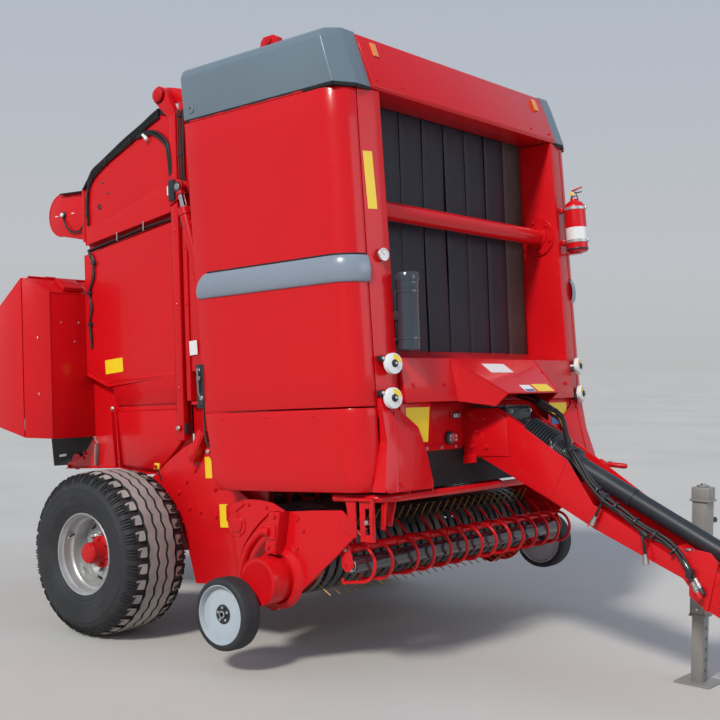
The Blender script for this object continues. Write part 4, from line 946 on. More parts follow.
# ---------------------------------------------------------------- rear gate
GW = [(-.385, 1.000), (-.385, 2.790), (-.330, 2.848), (-.262, 2.848), (.345, 2.597), (.443, 2.494), (.452, 2.494), (.452, 2.200), (.455, 1.040), (.560, .930), (.715, .890), (.705, .860), (.200, .865), (0, .830), (-.150, .835), (-.300, .960)]
GD = (.708, 2.385)
p = Part("gate_walls", "tailgate", ("tailgate_sides",))
def strap(part, pts, x0, x1, t, mat=RED, bevel=0):
    """folded strip of sheet along a run of (y, z) points, t thick to the right of the run"""
    for (ya, za), (yb, zb) in zip(pts, pts[1:]):
        L = math.hypot(yb - ya, zb - za); n = ((zb - za) / L * t, -(yb - ya) / L * t)
        part.px([(ya, za), (yb, zb), (yb + n[0], zb + n[1]), (ya + n[0], za + n[1])], x0, x1, mat, bevel=bevel)
for s in (-1, 1):
    X = lambda a, b: (s * a, s * b)
    f = fillet([(0, y, z) for y, z in GW + GW[:1]], .012, 2)[:-1]; p.px([(v.y, v.z) for v in f], *X(.7905, .800), RED, bevel=.002)
    # round end over the net drum, with a turned edge
    pts = [(GD[0] + .126 * math.cos(t), GD[1] + .126 * math.sin(t)) for t in [math.radians(-93 + 184 * i / 40) for i in range(41)]]
    p.px([(.440, 2.4935)] + [(y, z) for y, z in pts[::-1]] + [(.440, 2.205)], *X(.7912, .7998), RED, bevel=.0015)
    e = [(s * .797, y, z) for y, z in [(.456, 2.206)] + pts + [(.450, 2.497)]]; p.tube(e, .0052, RED, n=8)
    p.px([(.448, 2.497), (.700, 2.5125), (.700, 2.506), (.448, 2.490)], *X(.780, .822), SEAL, bevel=.001); p.px([(.428, 2.185), (.446, 2.185), (.446, 2.494), (.428, 2.494)], *X(.8005, .850), RED, bevel=.002)
    p.cyl((s * .7995, .688, 2.383), (s * .808, .688, 2.383), .021, BLACK, n=24); p.cyl((s * .808, .688, 2.383), (s * .822, .688, 2.383), .0125, WHITE, n=20, bevel=.003)
    for a in (-.085, .072): p.px([(.688 + a - .014, 2.380), (.688 + a + .014, 2.382), (.688 + a + .014, 2.387), (.688 + a - .014, 2.385)], *X(.7998, .8012), WHITE, bevel=0)
    p.tube(spline([(s * .806, .688, 2.362), (s * .812, .668, 2.335), (s * .814, .640, 2.298), (s * .814, .590, 2.268), (s * .816, .520, 2.268), (s * .836, .455, 2.290)], 7), .0058, HOSE, n=10)
    # rib: a channel that carries the hinge boss
    p.px([(-.392, 1.018), (-.392, 2.788), (-.338, 2.776), (-.338, 1.018)], *X(.8575, .862), RED, bevel=.0015)
    p.px([(-.3935, 1.016), (-.3935, 2.790), (-.389, 2.790), (-.389, 1.016)], *X(.826, .862), RED, bevel=.0012); p.px([(-.342, 1.016), (-.342, 2.778), (-.3375, 2.778), (-.3375, 1.016)], *X(.801, .862), RED, bevel=.0012)
    hd = [(-.392, 2.785), (-.318, 2.922), (-.295, 2.936), (-.270, 2.9575), (-.245, 2.951), (-.224, 2.922), (-.226, 2.890), (-.248, 2.868), (-.337, 2.776)]
    for a, b in ((.8575, .862), (.825, .8295)): p.px(hd, *X(a, b), RED, bevel=.0015)
    strap(p, [hd[0], hd[1], hd[2], hd[3], hd[4], hd[5], hd[6], hd[7], hd[8]], *X(.826, .861), -.004)
    p.ring(s * .8245, s * .862, (-.270, 2.910), .0478, .0202, RED, n=40); p.ring(s * .862, s * .866, (-.270, 2.910), .036, .0202, REDC, n=32)
    # upper cover with its cross crease, and the flange that carries the hoses
    uc = [(-.336, 2.262), (-.336, 2.776), (-.262, 2.806), (.330, 2.560), (.425, 2.470), (.425, 2.163)]
    def sk(y, z, o=0.0): return Vector((s * (.8492 + o), y, z))
    cr = lambda y: 2.300 + (y - .175) * (2.398 - 2.300) / (-.205 - .175)
    yy = [-.336, -.310, -.262, -.20, -.10, 0, .10, .20, .30, .330, .38, .425]
    zt = lambda y: interp([(-.336, 2.776), (-.262, 2.806), (.330, 2.560), (.425, 2.470)], y); zb = lambda y: interp([(-.336, 2.262), (.425, 2.163)], y)
    rows = []
    for t in (0, .02, .3, .6, .93, .97, 1.0, 1.03, 1.07, 1.4, 1.7, 1.98, 2.0):
        row = []
        for y in yy:
            cz = min(max(cr(y), zb(y) + .02), zt(y) - .02); z = lerp(zb(y), cz, t) if t <= 1 else lerp(cz, zt(y), t - 1)
            k = max(0, 1 - abs(t - 1) / .10); row.append(sk(y, z, -.0030 * k * (1 if -.25 < y < .22 else 0) - (.004 if t in (0, 2.0) or y in (-.336, .425) else 0)))
        rows.append(row)
    p.grid(rows, RED, thick=.003, closed_u=False)
    strap(p, uc[::-1] + [uc[-1]], *X(.8005, .8485), -.003)
    # lower cover with its foot
    lc = [(-.336, 1.372), (-.336, 2.205), (.440, 2.105), (.440, 1.405), (.260, 1.330)]
    yy2 = [-.336, -.332, -.24, -.14, -.04, .06, .16, .255, .30, .36, .436, .440]
    zt2 = lambda y: lerp(2.205, 2.105, (y + .336) / .776); zb2 = lambda y: interp([(-.336, 1.372), (.260, 1.330), (.440, 1.405)], y)
    rows = []
    for t in (0, .006, .03, .05, .2, .35, .5, .65, .8, .9, .994, 1):
        rows.append([sk(y, lerp(zb2(y), zt2(y), t), (-.004 if t in (0, 1) or y in (-.336, .440) else 0) + (-.004 if .02 < t < .04 else 0) + .0016 * math.sin(math.pi * min(1, max(0, t))) * math.sin(math.pi * min(1, max(0, (y + .336) / .776)))) for y in yy2])
    p.grid(rows, RED, thick=.003)
    strap(p, lc[::-1] + [lc[-1]], *X(.8005, .8485), -.003)
    p.extr([(s * .8495, -.336, 1.371), (s * .8005, -.336, 1.371), (s * .8005, -.336, 1.222), (s * .812, -.336, 1.222)], (0, .560, 0), RED, bevel=.0015)
    p.tube([(s * .850, .256, 1.352), (s * .850, -.232, 1.374)], .0018, RED, n=6); p.tube([(s * .850, .438, 1.404), (s * .850, .262, 1.336)], .0022, RED, n=6); p.tube([(s * .8495, .395, 1.440), (s * .8495, .285, 1.352)], .0016, RED, n=6)
    p.extr([(s * .800, .224, 1.345), (s * .848, .228, 1.345), (s * .848, .425, 1.402), (s * .800, .425, 1.402)], (0, 0, .004), RED, bevel=0)
    # bottom panel with the folded struts at its rear edge
    bp = [(-.332, 1.012), (-.332, 1.188), (.205, 1.188), (.170, .884), (-.138, .854), (-.278, .962)]
    p.px(bp, *X(.8225, .826), RED, bevel=.0015); strap(p, bp[::-1] + [bp[-1]], *X(.8005, .826), -.0035)
    for a in (0, .055): p.px([(.212 + a, 1.200), (.220 + a, 1.200), (.188 + a, .872), (.180 + a, .872)], *X(.8005, .836 - a * .2), RED, bevel=.0015)
    p.px([(.205, .868), (.275, .872), (.262, .980), (.222, .985)], *X(.8005, .8045), RED, bevel=.001)
    p.bolt((s * .836, .236, 1.205), (s, 0, 0), ZINC, af=.020, h=.008); p.bolt((s * .8005, .226, .900), (s, 0, 0), ZINC, af=.016, h=.007)
    p.px([(.415, .878), (.427, .878), (.420, 1.004), (.408, 1.004)], *X(.8005, .826), GREYP, bevel=.0015); p.tube([(s * .812, .405, 1.010), (s * .818, .418, 1.030), (s * .812, .428, 1.048)], .004, ZINC, n=8)
    for y, z in ((.545, .952), (.560, .925), (.700, .874)): p.bolt((s * .8003, y, z), (s, 0, 0), RED, af=.016, h=.006)
    strap(p, [(.705, .860), (.200, .865), (0, .830), (-.150, .835)], *X(.796, .822), .004); strap(p, [(.455, 1.040), (.560, .930), (.715, .890)], *X(.780, .800), -.004)
    for y, z in ((.251, 2.506), (.207, 2.440)): p.dome((s * .8492, y, z), (s, 0, 0), .0085, .004, DARK, n=16)
    p.ring(s * .8485, s * .8535, (.286, 2.372), .0165, .0105, DARK, n=24, b=.001)
    lg = [(-.338, 2.290), (-.338, 2.450), (-.462, 2.4055)] + [(-.460 + .0358 * math.cos(t), 2.370 + .0358 * math.sin(t)) for t in [math.radians(95 + 170 * i / 14) for i in range(15)]] + [(-.462, 2.3345)]
    p.px(lg, *X(.8622, .8715), REDC, bevel=.002); p.box(min(s * .8718, s * .8835), max(s * .8718, s * .8835), -.392, -.344, 2.312, 2.425, BLACK, bevel=.004); p.cyl((s * .877, -.338, 2.345), (s * .877, -.338, 2.395), .0062, WHITE, n=14)
    for z in (2.322, 2.414): p.bolt((s * .8718, -.352, z), (s, 0, 0), ZINC, af=.013, h=.005)
    # gate stop pads and latch at the bottom of the rib
    p.box(min(s * .826, s * .858), max(s * .826, s * .858), -.404, -.3925, 1.050, 1.110, BLACK); p.cyl((s * .862, -.365, 1.085), (s * .876, -.365, 1.085), .016, REDC, n=20); p.bolt((s * .876, -.365, 1.085), (s, 0, 0), ZINC, af=.018, h=.008)
    for z in (1.30, 1.75, 2.15): p.bolt((s * .862, -.365, z), (s, 0, 0), RED, af=.014, h=.004, w=False)
label(p, (-.8505, .190, 1.447), (-1, 0, 0), (0, .06, 1), .155, .080, YELLOW)
p.done(sharp=26)
p = Part("gate_hose_runs", "tailgate")
rn = random.Random(5)
# bundle along the top flange and down the rib
for s in (-1, 1):
    for q4 in ([(-.262, 2.8475), (.344, 2.5965), (.339, 2.584), (-.267, 2.835)], [(.345, 2.597), (.443, 2.494), (.434, 2.487), (.336, 2.590)], [(-.334, 2.8445), (-.262, 2.8475), (-.262, 2.838), (-.330, 2.836)]): p.px(q4, min(s * .801, s * .853), max(s * .801, s * .853), SEAL, bevel=.002)
    p.px([(-.336, 2.786), (-.334, 2.842), (-.262, 2.845), (-.120, 2.786), (-.120, 2.750), (-.262, 2.808)], min(s * .8495, s * .8525), max(s * .8495, s * .8525), SEAL, bevel=.001)
base = [(-.857, -.262, 2.812), (-.858, -.170, 2.778), (-.858, -.060, 2.733), (-.858, .090, 2.671), (-.858, .232, 2.612), (-.857, .335, 2.556), (-.856, .380, 2.460), (-.856, .386, 2.380), (-.856, .384, 2.284)]
up = [(-.8585, -.351, 2.460), (-.8635, -.345, 2.560), (-.8640, -.325, 2.640), (-.8600, -.250, 2.705), (-.8590, -.170, 2.730), (-.8585, -.080, 2.722)]
for k in range(5):
    o = Vector((-.004 + .0035 * (k % 3), rn.uniform(-.006, .006), -.0090 * k + .018)); P_ = spline([Vector(v) + o * (1 if i < 6 else .6) for i, v in enumerate(base)], 8)
    p.tube([v + Vector((0, .002 * math.sin(i * .35 + k), .002 * math.cos(i * .3 + k))) for i, v in enumerate(P_)], (.0085, .0075, .0075, .0060, .0055)[k], HOSE, n=10)
for k in range(2): p.tube(spline([Vector(v) + Vector((0, .014 * k, -.012 * k)) for v in up], 8), .0075, HOSE, n=10)
p.cyl((-.866, -.128, 2.716), (-.868, -.150, 2.700), .0085, WHITE, n=14); p.cyl((-.868, -.148, 2.702), (-.870, -.168, 2.680), .0105, WHITE, n=14)
for y, z in ((-.02, 2.705), (.20, 2.620), (.330, 2.552), (.376, 2.45), (.386, 2.34)):
    p.tube([(-.857 + .020 * math.cos(t), y + (.006 * math.cos(t)), z + .024 * math.sin(t)) for t in [2 * math.pi * i / 20 for i in range(20)]], .0018, BELTB if z > 2.5 else RUSTY, n=6, closed=True)
# lines in the recess between the covers, with clips, and down behind the lower cover
for k in range(3): p.tube(spline([(-.820 - .008 * k, -.33, 2.235 - .004 * k), (-.822 - .008 * k, -.10, 2.205), (-.822 - .008 * k, .14, 2.172), (-.822 - .008 * k, .36, 2.140), (-.834, .420, 2.128)], 6), .0065, HOSE, n=8)
for y in (-.095, .135): p.px([(y - .0035, 2.175 - y * .13), (y + .0035, 2.173 - y * .13), (y + .0035, 2.225 - y * .13), (y - .0035, 2.227 - y * .13)], -.853, -.8505, SILVER, bevel=.0008)
for k, (r, mt) in enumerate(((.0066, HOSE), (.0058, BELTB))):
    P_ = spline([(-.842, .404 + .006 * k, 2.135), (-.8585, .368 + .012 * k, 2.105), (-.8600, .336 + .014 * k, 2.050), (-.8600, .360 - .012 * k, 1.955), (-.8600, .384 + .010 * k, 1.880), (-.8600, .378 - .012 * k, 1.800), (-.8600, .386 + .010 * k, 1.700), (-.8590, .380, 1.600), (-.8540, .384, 1.560)], 7); p.tube([v + Vector((0, .0030 * math.sin(i * .5 + 3 * k), 0)) for i, v in enumerate(P_)], r, mt, n=8)
for z, y in ((2.05, .342), (1.88, .388), (1.70, .388)): p.box(-.868, -.8495, y - .018, y + .018, z - .007, z + .007, BLACK, bevel=.001)
p.done()
p = Part("gate_under_flap", "tailgate")
for s in (-1, 1): p.px([(.500, 1.052), (.905, 1.052), (.883, .873), (.822, .898), (.505, .962)], min(s * .770, s * .775), max(s * .770, s * .775), SEAL, bevel=.001)
p.px([(.500, .965), (.505, .962), (.822, .898), (.883, .873), (.884, .876), (.823, .902), (.506, .966)], -.770, .770, SEAL, bevel=0)
label(p, (-.775, .791, .937), (-1, 0, 0), (0, .1, 1), .070, .014, WHITE)
p.done()
p = Part("gate_beam_bars", "tailgate", ("tailgate_beams",))
p.box(-.790, .790, .262, .388, 2.152, 2.248, RED, bevel=.006, seg=3); p.box(-.790, .790, -.329, -.271, 2.581, 2.639, RED, bevel=.004); p.rod(-.790, .790, (.640, .900), .0298, RED, n=32)
for s in (-1, 1):
    for y, z in ((.285, 2.20), (.365, 2.20)): p.bolt((s * .7902, y, z), (-s, 0, 0), ZINC, af=.018, h=.008)
    p.ring(s * .789, s * .781, (.640, .900), .048, .030, RED, n=32)
# rear door sheet of the chamber, under the drum, seen from behind
p.px([(.452, 1.050), (.452, 2.140), (.444, 2.140), (.444, 1.050)], -.7895, .7895, RED, bevel=.002)
for z in (1.10, 1.45, 1.85): p.px([(.452, z - .02), (.436, z - .02), (.436, z + .02), (.452, z + .02)], -.7895, .7895, RED, bevel=.002)
p.done()
TGR = [(-.150, 2.690), (.330, 1.120), (.352, 2.400)]
p = Part("gate_roller_set", "tailgate", ("tailgate_rollers",))
for y, z in TGR:
    p.lathe((-.789, y, z), (1, 0, 0), [(.030, 0), (.074, 0), (.0745, .002), (.0745, 1.576), (.074, 1.578), (.030, 1.578)], STEEL, n=48, loop=True); p.rod(-.7895, .7895, (y, z), .0298, DARK, n=24)
p.lathe((-.789, .708, 2.385), (1, 0, 0), [(.035, 0), (.099, 0), (.100, .003), (.100, 1.575), (.099, 1.578), (.035, 1.578)], SILVER, n=56, loop=True); p.rod(-.7895, .7895, (.708, 2.385), .0348, DARK, n=28)
p.done()
p = Part("gate_belt_run", "tailgate", ("tailgate_belts",))
belts(p, TGR, .0755, .0072, (BELT,) * 8, 8)
p.done()

# ---------------------------------------------------------------- net box and cover
p = Part("net_box_shell", "tailgate", ("net_box",))
def slant(pts_xy, z0s, z1s, mat=RED, t=None): pass
for s in (-1, 1):
    # chamfered end: front face, folded corner and its flanges
    a0, a1 = Vector((s * 1.098, .4405, 0)), Vector((s * 1.1995, .5555, 0))
    q = [(a0.x, a0.y, 1.046), (a1.x, a1.y, 1.057), (a1.x, a1.y, 1.9675), (a0.x, a0.y, 1.8805)]
    plate(p, q if s < 0 else q[::-1], -.004 if s < 0 else -.004, RED, bevel=.0012)
    p.box(min(s * .800, s * 1.099), max(s * .800, s * 1.099), .4405, .4445, 1.046, 1.880, RED, bevel=.0012)
    p.tube([(s * 1.098, .4412, 1.047), (s * 1.098, .4412, 1.879)], .0026, RED, n=8)
    p.box(min(s * 1.165, s * 1.199), max(s * 1.165, s * 1.199), .5515, .5555, 1.058, 1.960, RED, bevel=.001)
    # top and bottom plates of the end
    p.extr([(s * .80, .4405, 1.8795), (s * 1.098, .4405, 1.8795), (s * 1.1995, .5555, 1.9665), (s * .80, .5555, 1.9665)], (0, .0020, -.0035), RED, bevel=.001); p.extr([(s * .80, .4405, 1.046), (s * 1.098, .4405, 1.046), (s * 1.1995, .5555, 1.057), (s * .80, .5555, 1.057)], (0, 0, .004), RED, bevel=.001)
    p.tube([(s * .80, .4415, 1.8785), (s * 1.098, .4415, 1.8785), (s * 1.199, .5555, 1.9655)], .0034, RED, n=8)
    for x, z in ((.90, 1.71), (1.02, 1.708), (1.135, 1.09), (.93, 1.60)): p.dome((s * x, .4405 if x < 1.1 else .482, z), (0, -1, 0) if x < 1.1 else (s * .75, -.66, 0), .0060, .003, ZINC, n=14)
    p.px([(.5515, 1.100), (.5605, 1.100), (.5605, 1.165), (.5515, 1.165)], *sorted((s * 1.1900, s * 1.2010)), GREYP, bevel=.0012)
p.box(-.80, .80, .5515, .5555, 1.90, 1.9665, RED, bevel=.001); p.box(-.80, .80, .5515, .5555, 1.058, 1.12, RED, bevel=.001)
p.extr([(-.80, .4405, 1.8795), (.80, .4405, 1.8795), (.80, .5555, 1.9665), (-.80, .5555, 1.9665)], (0, .0020, -.0035), RED, bevel=.001); p.extr([(-.80, .4405, 1.046), (.80, .4405, 1.046), (.80, .5555, 1.057), (-.80, .5555, 1.057)], (0, 0, .004), RED, bevel=.001)
# light and control box on top, with its bracket, and the lamp below
for s in (-1, 1):
    p.extr([(s * .86, .452, 1.889), (s * .86, .535, 1.951), (s * 1.00, .535, 1.951), (s * 1.00, .452, 1.889)], (0, -.018, .022), REDC, bevel=.004); p.cyl((s * .93, .505, 1.950), (s * .93, .499, 1.956), .012, ZINC, n=16)
# roll holders inside
for y, z in ((.500, 1.30), (.500, 1.62)): p.rod(-1.150, 1.150, (y, z), .012, ZINC, n=16)
p.done(sharp=26)
p = Part("net_cover_shell", "net_box_cover", ("net_box_cover",))
NC = [(.566, 1.965), (.774, 1.822), (1.100, 1.600), (1.100, 1.200), (.802, 1.123), (.566, 1.062)]
for (ya, za), (yb, zb) in zip(NC, NC[1:]):
    L = math.hypot(yb - ya, zb - za); n = (-(zb - za) / L, (yb - ya) / L); n = (-n[0], -n[1]) if (n[0] * (.8 - ya) + n[1] * (1.5 - za)) < 0 else n
    p.px([(ya, za), (yb, zb), (yb + n[0] * .004, zb + n[1] * .004), (ya + n[0] * .004, za + n[1] * .004)], -1.199, 1.199, RED, bevel=.001)
    p.tube([(-1.1975, yb, zb), (1.1975, yb, zb)], .0028, RED, n=8) if yb > .7 else None
for s in (-1, 1):
    p.px(NC, *sorted((s * 1.1965, s * 1.200)), RED, bevel=.0012); p.tube([(s * 1.1975, y, z) for y, z in NC], .0032, RED, n=8)
    p.px([(.5665, 1.062), (.5705, 1.062), (.5705, 1.960), (.5665, 1.960)], *sorted((s * 1.160, s * 1.199)), RED, bevel=.001)
    p.px([(1.095, 1.270), (1.1125, 1.270), (1.1125, 1.330), (1.095, 1.330)], *sorted((s * .62, s * .76)), BLACK, bevel=.004)
    # tail lamps and reflectors on the slant
    c = Vector((s * .98, 1.1035, 1.36)); p.box(min(c.x - .055, c.x + .055), max(c.x - .055, c.x + .055), 1.0985, 1.112, 1.30, 1.42, BLACK, bevel=.004); p.lathe((c.x, 1.110, 1.387), (0, 1, 0), [(.024, 0), (.024, .002), (.018, .005), (0, .0065)], REDC, n=24); p.lathe((c.x, 1.110, 1.333), (0, 1, 0), [(.024, 0), (.024, .002), (.018, .005), (0, .0065)], AMBER, n=24)
p.rod(-1.150, 1.150, (.567, 1.972), .0088, REDC, n=16)
for x in (-1.0, -.5, 0, .5, 1.0): p.rod(x - .035, x + .035, (.567, 1.972), .0125, REDC, n=18); p.extr([(x - .035, .574, 1.973), (x + .035, .574, 1.973), (x + .035, .640, 1.928), (x - .035, .640, 1.928)], (0, .0022, .0032), REDC, bevel=0)
p.rod(-.16, .16, (1.108, 1.500), .009, BLACK, n=16)
for x in (-.15, .15): p.cyl((x, 1.100, 1.500), (x, 1.110, 1.500), .011, BLACK)
for i in (0, 1): (ya, za), (yb, zb) = NC[i], NC[i + 1]
p.px([(.60, 1.944), (.74, 1.848), (.742, 1.851), (.602, 1.947)], -1.10, -.72, REDC, bevel=.001)
for y, z in ((.62, 1.934), (.72, 1.866)):
    for x in (-1.08, -.74): p.bolt((x, y, z), (0, .566, .824), ZINC, af=.014, h=.006)
p.done(sharp=26)

# ---------------------------------------------------------------- gate cylinders
CLO, CHI = Vector((0, -.790, 1.230)), Vector((0, -.460, 2.370)); CD = (CHI - CLO).normalized()
for s, side in SIDES:
    p = Part("cylinder_barrel_tube_" + side, "barrel_" + side, ("cylinder_barrel_" + side,), s); O = Vector((.905, -.790, 1.230))
    p.lathe(O, CD, [(.0183, 1.0615), (.0350, 1.0615), (.0368, 1.0595), (.0368, 1.0230), (.0350, 1.0205), (.0318, 1.0200), (.0318, .0420), (.0300, .0380), (.0, .0380), (0, .6), (.0183, .6)], RED, n=40, loop=False)
    p.ring(.883, .927, (-.790, 1.230), .0338, .0181, REDC, n=36); p.extr([O + CD * .020 + Vector((a, 0, 0)) + Vector((0, b * CD.z, -b * CD.y)) for a, b in ((-.020, -.026), (.020, -.026), (.020, .026), (-.020, .026))], CD * .030, REDC, bevel=.004)
    q = Vector((0, -CD.z, CD.y))
    for h in (.090, .965): b0 = O + CD * h + q * .030; p.cyl(b0, b0 + q * .012, .0135, REDC, n=20, bevel=.002); p.bolt(b0 + q * .012, q, ZINC, af=.018, h=.009, w=False)
    for k in range(4): t = k * math.pi / 2 + .6; v = Vector((math.cos(t), math.sin(t) * CD.z, -math.sin(t) * CD.y)); p.bolt(O + CD * 1.0615 + v * .0278, CD, ZINC, af=.007, h=.003, w=False)
    p.done()
    p = Part("cylinder_rod_bar_" + side, "rod_" + side, ("cylinder_rod_" + side,), s)
    p.cyl(O + CD * .612, O + CD * 1.165, .0178, CHROME, n=36); p.ring(.891, .919, (-.460, 2.370), .0318, .0178, REDC, n=36); p.rod(.8795, .925, (-.460, 2.370), .0178, ZINC, n=28)
    p.lathe((.920, -.460, 2.370), (1, 0, 0), [(.0178, -.001), (.026, 0), (.026, .004), (0, .004)], DARK, n=28); p.cyl(O + CD * 1.140, O + CD * 1.158, .0235, REDC, n=28)
    p.done()

# lines that come down the rear edge of the chamber wall, fixed to the frame
p = Part("wall_hose_run", "frame")
for s in (-1, 1):
    for k in range(4):
        p.tube([(s * (.8568 + .0006 * (k % 2)), -.4490 + .0125 * k + .0028 * math.sin(z * 8 + k * 1.9), z) for z in [2.800 - (.60 + .04 * (k % 2)) * i / 30 for i in range(31)]], .0036, (BELTB, HOSE, BELTB, BELTB)[k], n=8)
    for z in (2.77, 2.56, 2.24): p.box(min(s * .8502, s * .8632), max(s * .8502, s * .8632), -.441, -.406, z - .006, z + .006, BLACK, bevel=.001)
    p.tube(spline([(s * .857, -.432, 2.205), (s * .858, -.440, 2.160), (s * .856, -.452, 2.100), (s * .846, -.470, 2.020)], 6), .0052, HOSE, n=8)
p.done()

# ---------------------------------------------------------------- pickup
PS = [(-.858, .560), (-.850, .690), (-.960, .728), (-1.060, .726), (-1.150, .712), (-1.238, .672), (-1.400, .682), (-1.590, .688), (-1.635, .650), (-1.658, .600), (-1.655, .562), (-1.325, .308), (-1.136, .190), (-1.040, .215), (-.900, .300)]
p = Part("pickup_side_frames", "pickup", ("pickup_frame",))
RC = (-1.240, .460); DC = (-1.165, .350)
for s in (-1, 1):
    X = lambda a, b: sorted((s * a, s * b)); f = fillet([(0, y, z) for y, z in PS + PS[:1]], .030, 5)[:-1]
    p.px([(v.y, v.z) for v in f], *X(.9765, .9845), RED, bevel=.0022)
    # lower edge turned inwards, wide at the bottom and running out at the front
    run = [(-1.652, .566, .012), (-1.560, .489, .018), (-1.440, .398, .022), (-1.405, .371, .050), (-1.325, .310, .058), (-1.230, .250, .060), (-1.140, .193, .060), (-1.045, .217, .050), (-.905, .300, .030)]
    for (ya, za, wa), (yb, zb, wb) in zip(run, run[1:]): p.extr([(s * .984, ya, za), (s * .984, yb, zb), (s * (.984 - wb), yb, zb), (s * (.984 - wa), ya, za)], (0, .002, .0045), RED, bevel=.001)
    p.tube([(s * .983, y, z + .001) for y, z, w in run], .0036, RED, n=8)
    # front nose: rounded pad with a stiffening bead
    p.px([(-1.648, .572), (-1.650, .618), (-1.618, .662), (-1.585, .640), (-1.598, .590)], *X(.9846, .9885), RED, bevel=.0016)
    # pivot boss
    p.ring(s * .955, s * .9955, (-.900, .600), .040, .0203, RED, n=40); p.ring(s * .9846, s * .989, (-.900, .600), .062, .040, RED, n=44)
    for k in range(5): t = k * 1.257 + .4; p.bolt((s * .989, -.900 + .051 * math.cos(t), .600 + .051 * math.sin(t)), (s, 0, 0), RED, af=.012, h=.004, w=False)
    # drum over the reel's end, with its flange ring and bolts
    p.lathe((s * .9846, *DC), (s, 0, 0), [(.1280, 0), (.1285, .002), (.1285, .009), (.1260, .0105), (.1145, .0105), (.1140, .014), (.1140, .133), (.1118, .1375), (.1080, .1395), (.0920, .1395), (.0900, .1385), (0, .1385)], RED, n=72)
    p.tube([(s * 1.1235, DC[0] + .1115 * math.cos(t), DC[1] + .1115 * math.sin(t)) for t in [2 * math.pi * i / 64 for i in range(64)]], .0026, RED, n=8, closed=True)
    for k in range(6): t = k * 1.047 + .35; p.bolt((s * .995, DC[0] + .1205 * math.cos(t), DC[1] + .1205 * math.sin(t)), (s, 0, 0), RED, af=.010, h=.004, w=False)
    # cone-shaped fairing between the plate and the drum
    p.lathe((s * .9846, DC[0] - .020, DC[1] + .006), (s, 0, 0), [(.150, 0), (.146, .006), (.134, .018), (.1285, .026), (.120, .028), (.120, 0)], RED, n=72, loop=True)
    for u, v in ((-1.285, .295), (-1.315, .338), (-1.250, .262)): p.bolt((s * .9846, u, v), (s, 0, 0), RED, af=.016, h=.007)
    # gauge arm bracket: plate off the side, front flange, bolts
    b = [(-1.187, .675), (-1.262, .677), (-1.222, .473), (-1.150, .488)]
    p.px(b, *X(1.046, 1.052), RED, bevel=.0018); p.extr([(s * .9846, -1.262, .677), (s * 1.052, -1.262, .677), (s * 1.052, -1.222, .473), (s * .9846, -1.222, .473)], (0, .005, 0), RED, bevel=.0015)
    p.extr([(s * .9846, -1.187, .675), (s * 1.048, -1.187, .675), (s * 1.048, -1.150, .488), (s * .9846, -1.150, .488)], (0, -.005, 0), RED, bevel=.0015)
    for y, z in ((-1.222, .655), (-1.195, .590), (-1.175, .505), (-1.225, .530)): p.bolt((s * 1.052, y, z), (s, 0, 0), RED, af=.018, h=.008)
    for y, z in ((-1.310, .640), (-1.300, .500), (-1.345, .585)): p.bolt((s * .9846, y, z), (s, 0, 0), RED, af=.016, h=.007)
    # arc edge of the inner guard
    arc = [(-1.135, .672), (-1.116, .658), (-1.060, .616), (-1.020, .581), (-.980, .540), (-.950, .500), (-.928, .455), (-.913, .411), (-.901, .348)]
    P_ = spline([(0, y, z) for y, z in arc], 4); strap(p, [(v.y, v.z) for v in P_], *X(.984, .994), .0035)
    for y, z in ((-.985, .700), (-1.105, .690), (-.925, .345), (-.880, .665), (-.870, .600)): p.bolt((s * .9846, y, z), (s, 0, 0), RED, af=.015, h=.006)
    # upper rear corner plate and stop
    p.px([(-.858, .640), (-.852, .688), (-.940, .718), (-.960, .700)], *X(.9846, .990), RED, bevel=.0016)
    p.rod(s * .967, s * .9765, RC, .0595, RED, n=36); p.ring(s * .9846, s * .990, RC, .055, .0255, RED, n=36)
    p.ring(s * .9846, s * .992, (-1.200, .620), .024, .0125, REDC, n=24)
# gauge arms
for s, route, hub in ((-1, [(-1.195, .580), (-1.160, .582), (-1.120, .566), (-1.060, .512), (-1.022, .450), (-1.005, .390), (-1.004, .320), (-1.020, .255), (-1.045, .2065)], (-1.045, .2065)), (1, [(-1.255, .640), (-1.300, .622), (-1.340, .590), (-1.366, .540), (-1.374, .470), (-1.370, .400), (-1.345, .315)], (-1.345, .315))):
    p.tube(spline([(s * 1.058, y, z) for y, z in route], 8), .0216, RED, n=20)
    p.lathe((s * 1.032, *hub), (s, 0, 0), [(.0125, 0), (.0245, 0), (.0268, .003), (.0268, .054), (.0245, .057), (.0125, .057)], REDC, n=32, loop=True); p.rod(s * 1.040, s * 1.223, hub, .0119, ZINC, n=20); p.bolt((s * 1.222, *hub), (s, 0, 0), ZINC, af=.017, h=.008, w=False)
    c = Vector((s * 1.052, *route[0])); p.box(min(s * 1.050, s * 1.060), max(s * 1.050, s * 1.060), c.y - .035, c.y + .035, c.z - .035, c.z + .035, RED, bevel=.003)
# left arm's clamp reaches its own place on the plate
p.box(.9846, 1.060, -1.300, -1.250, .605, .672, RED, bevel=.003)
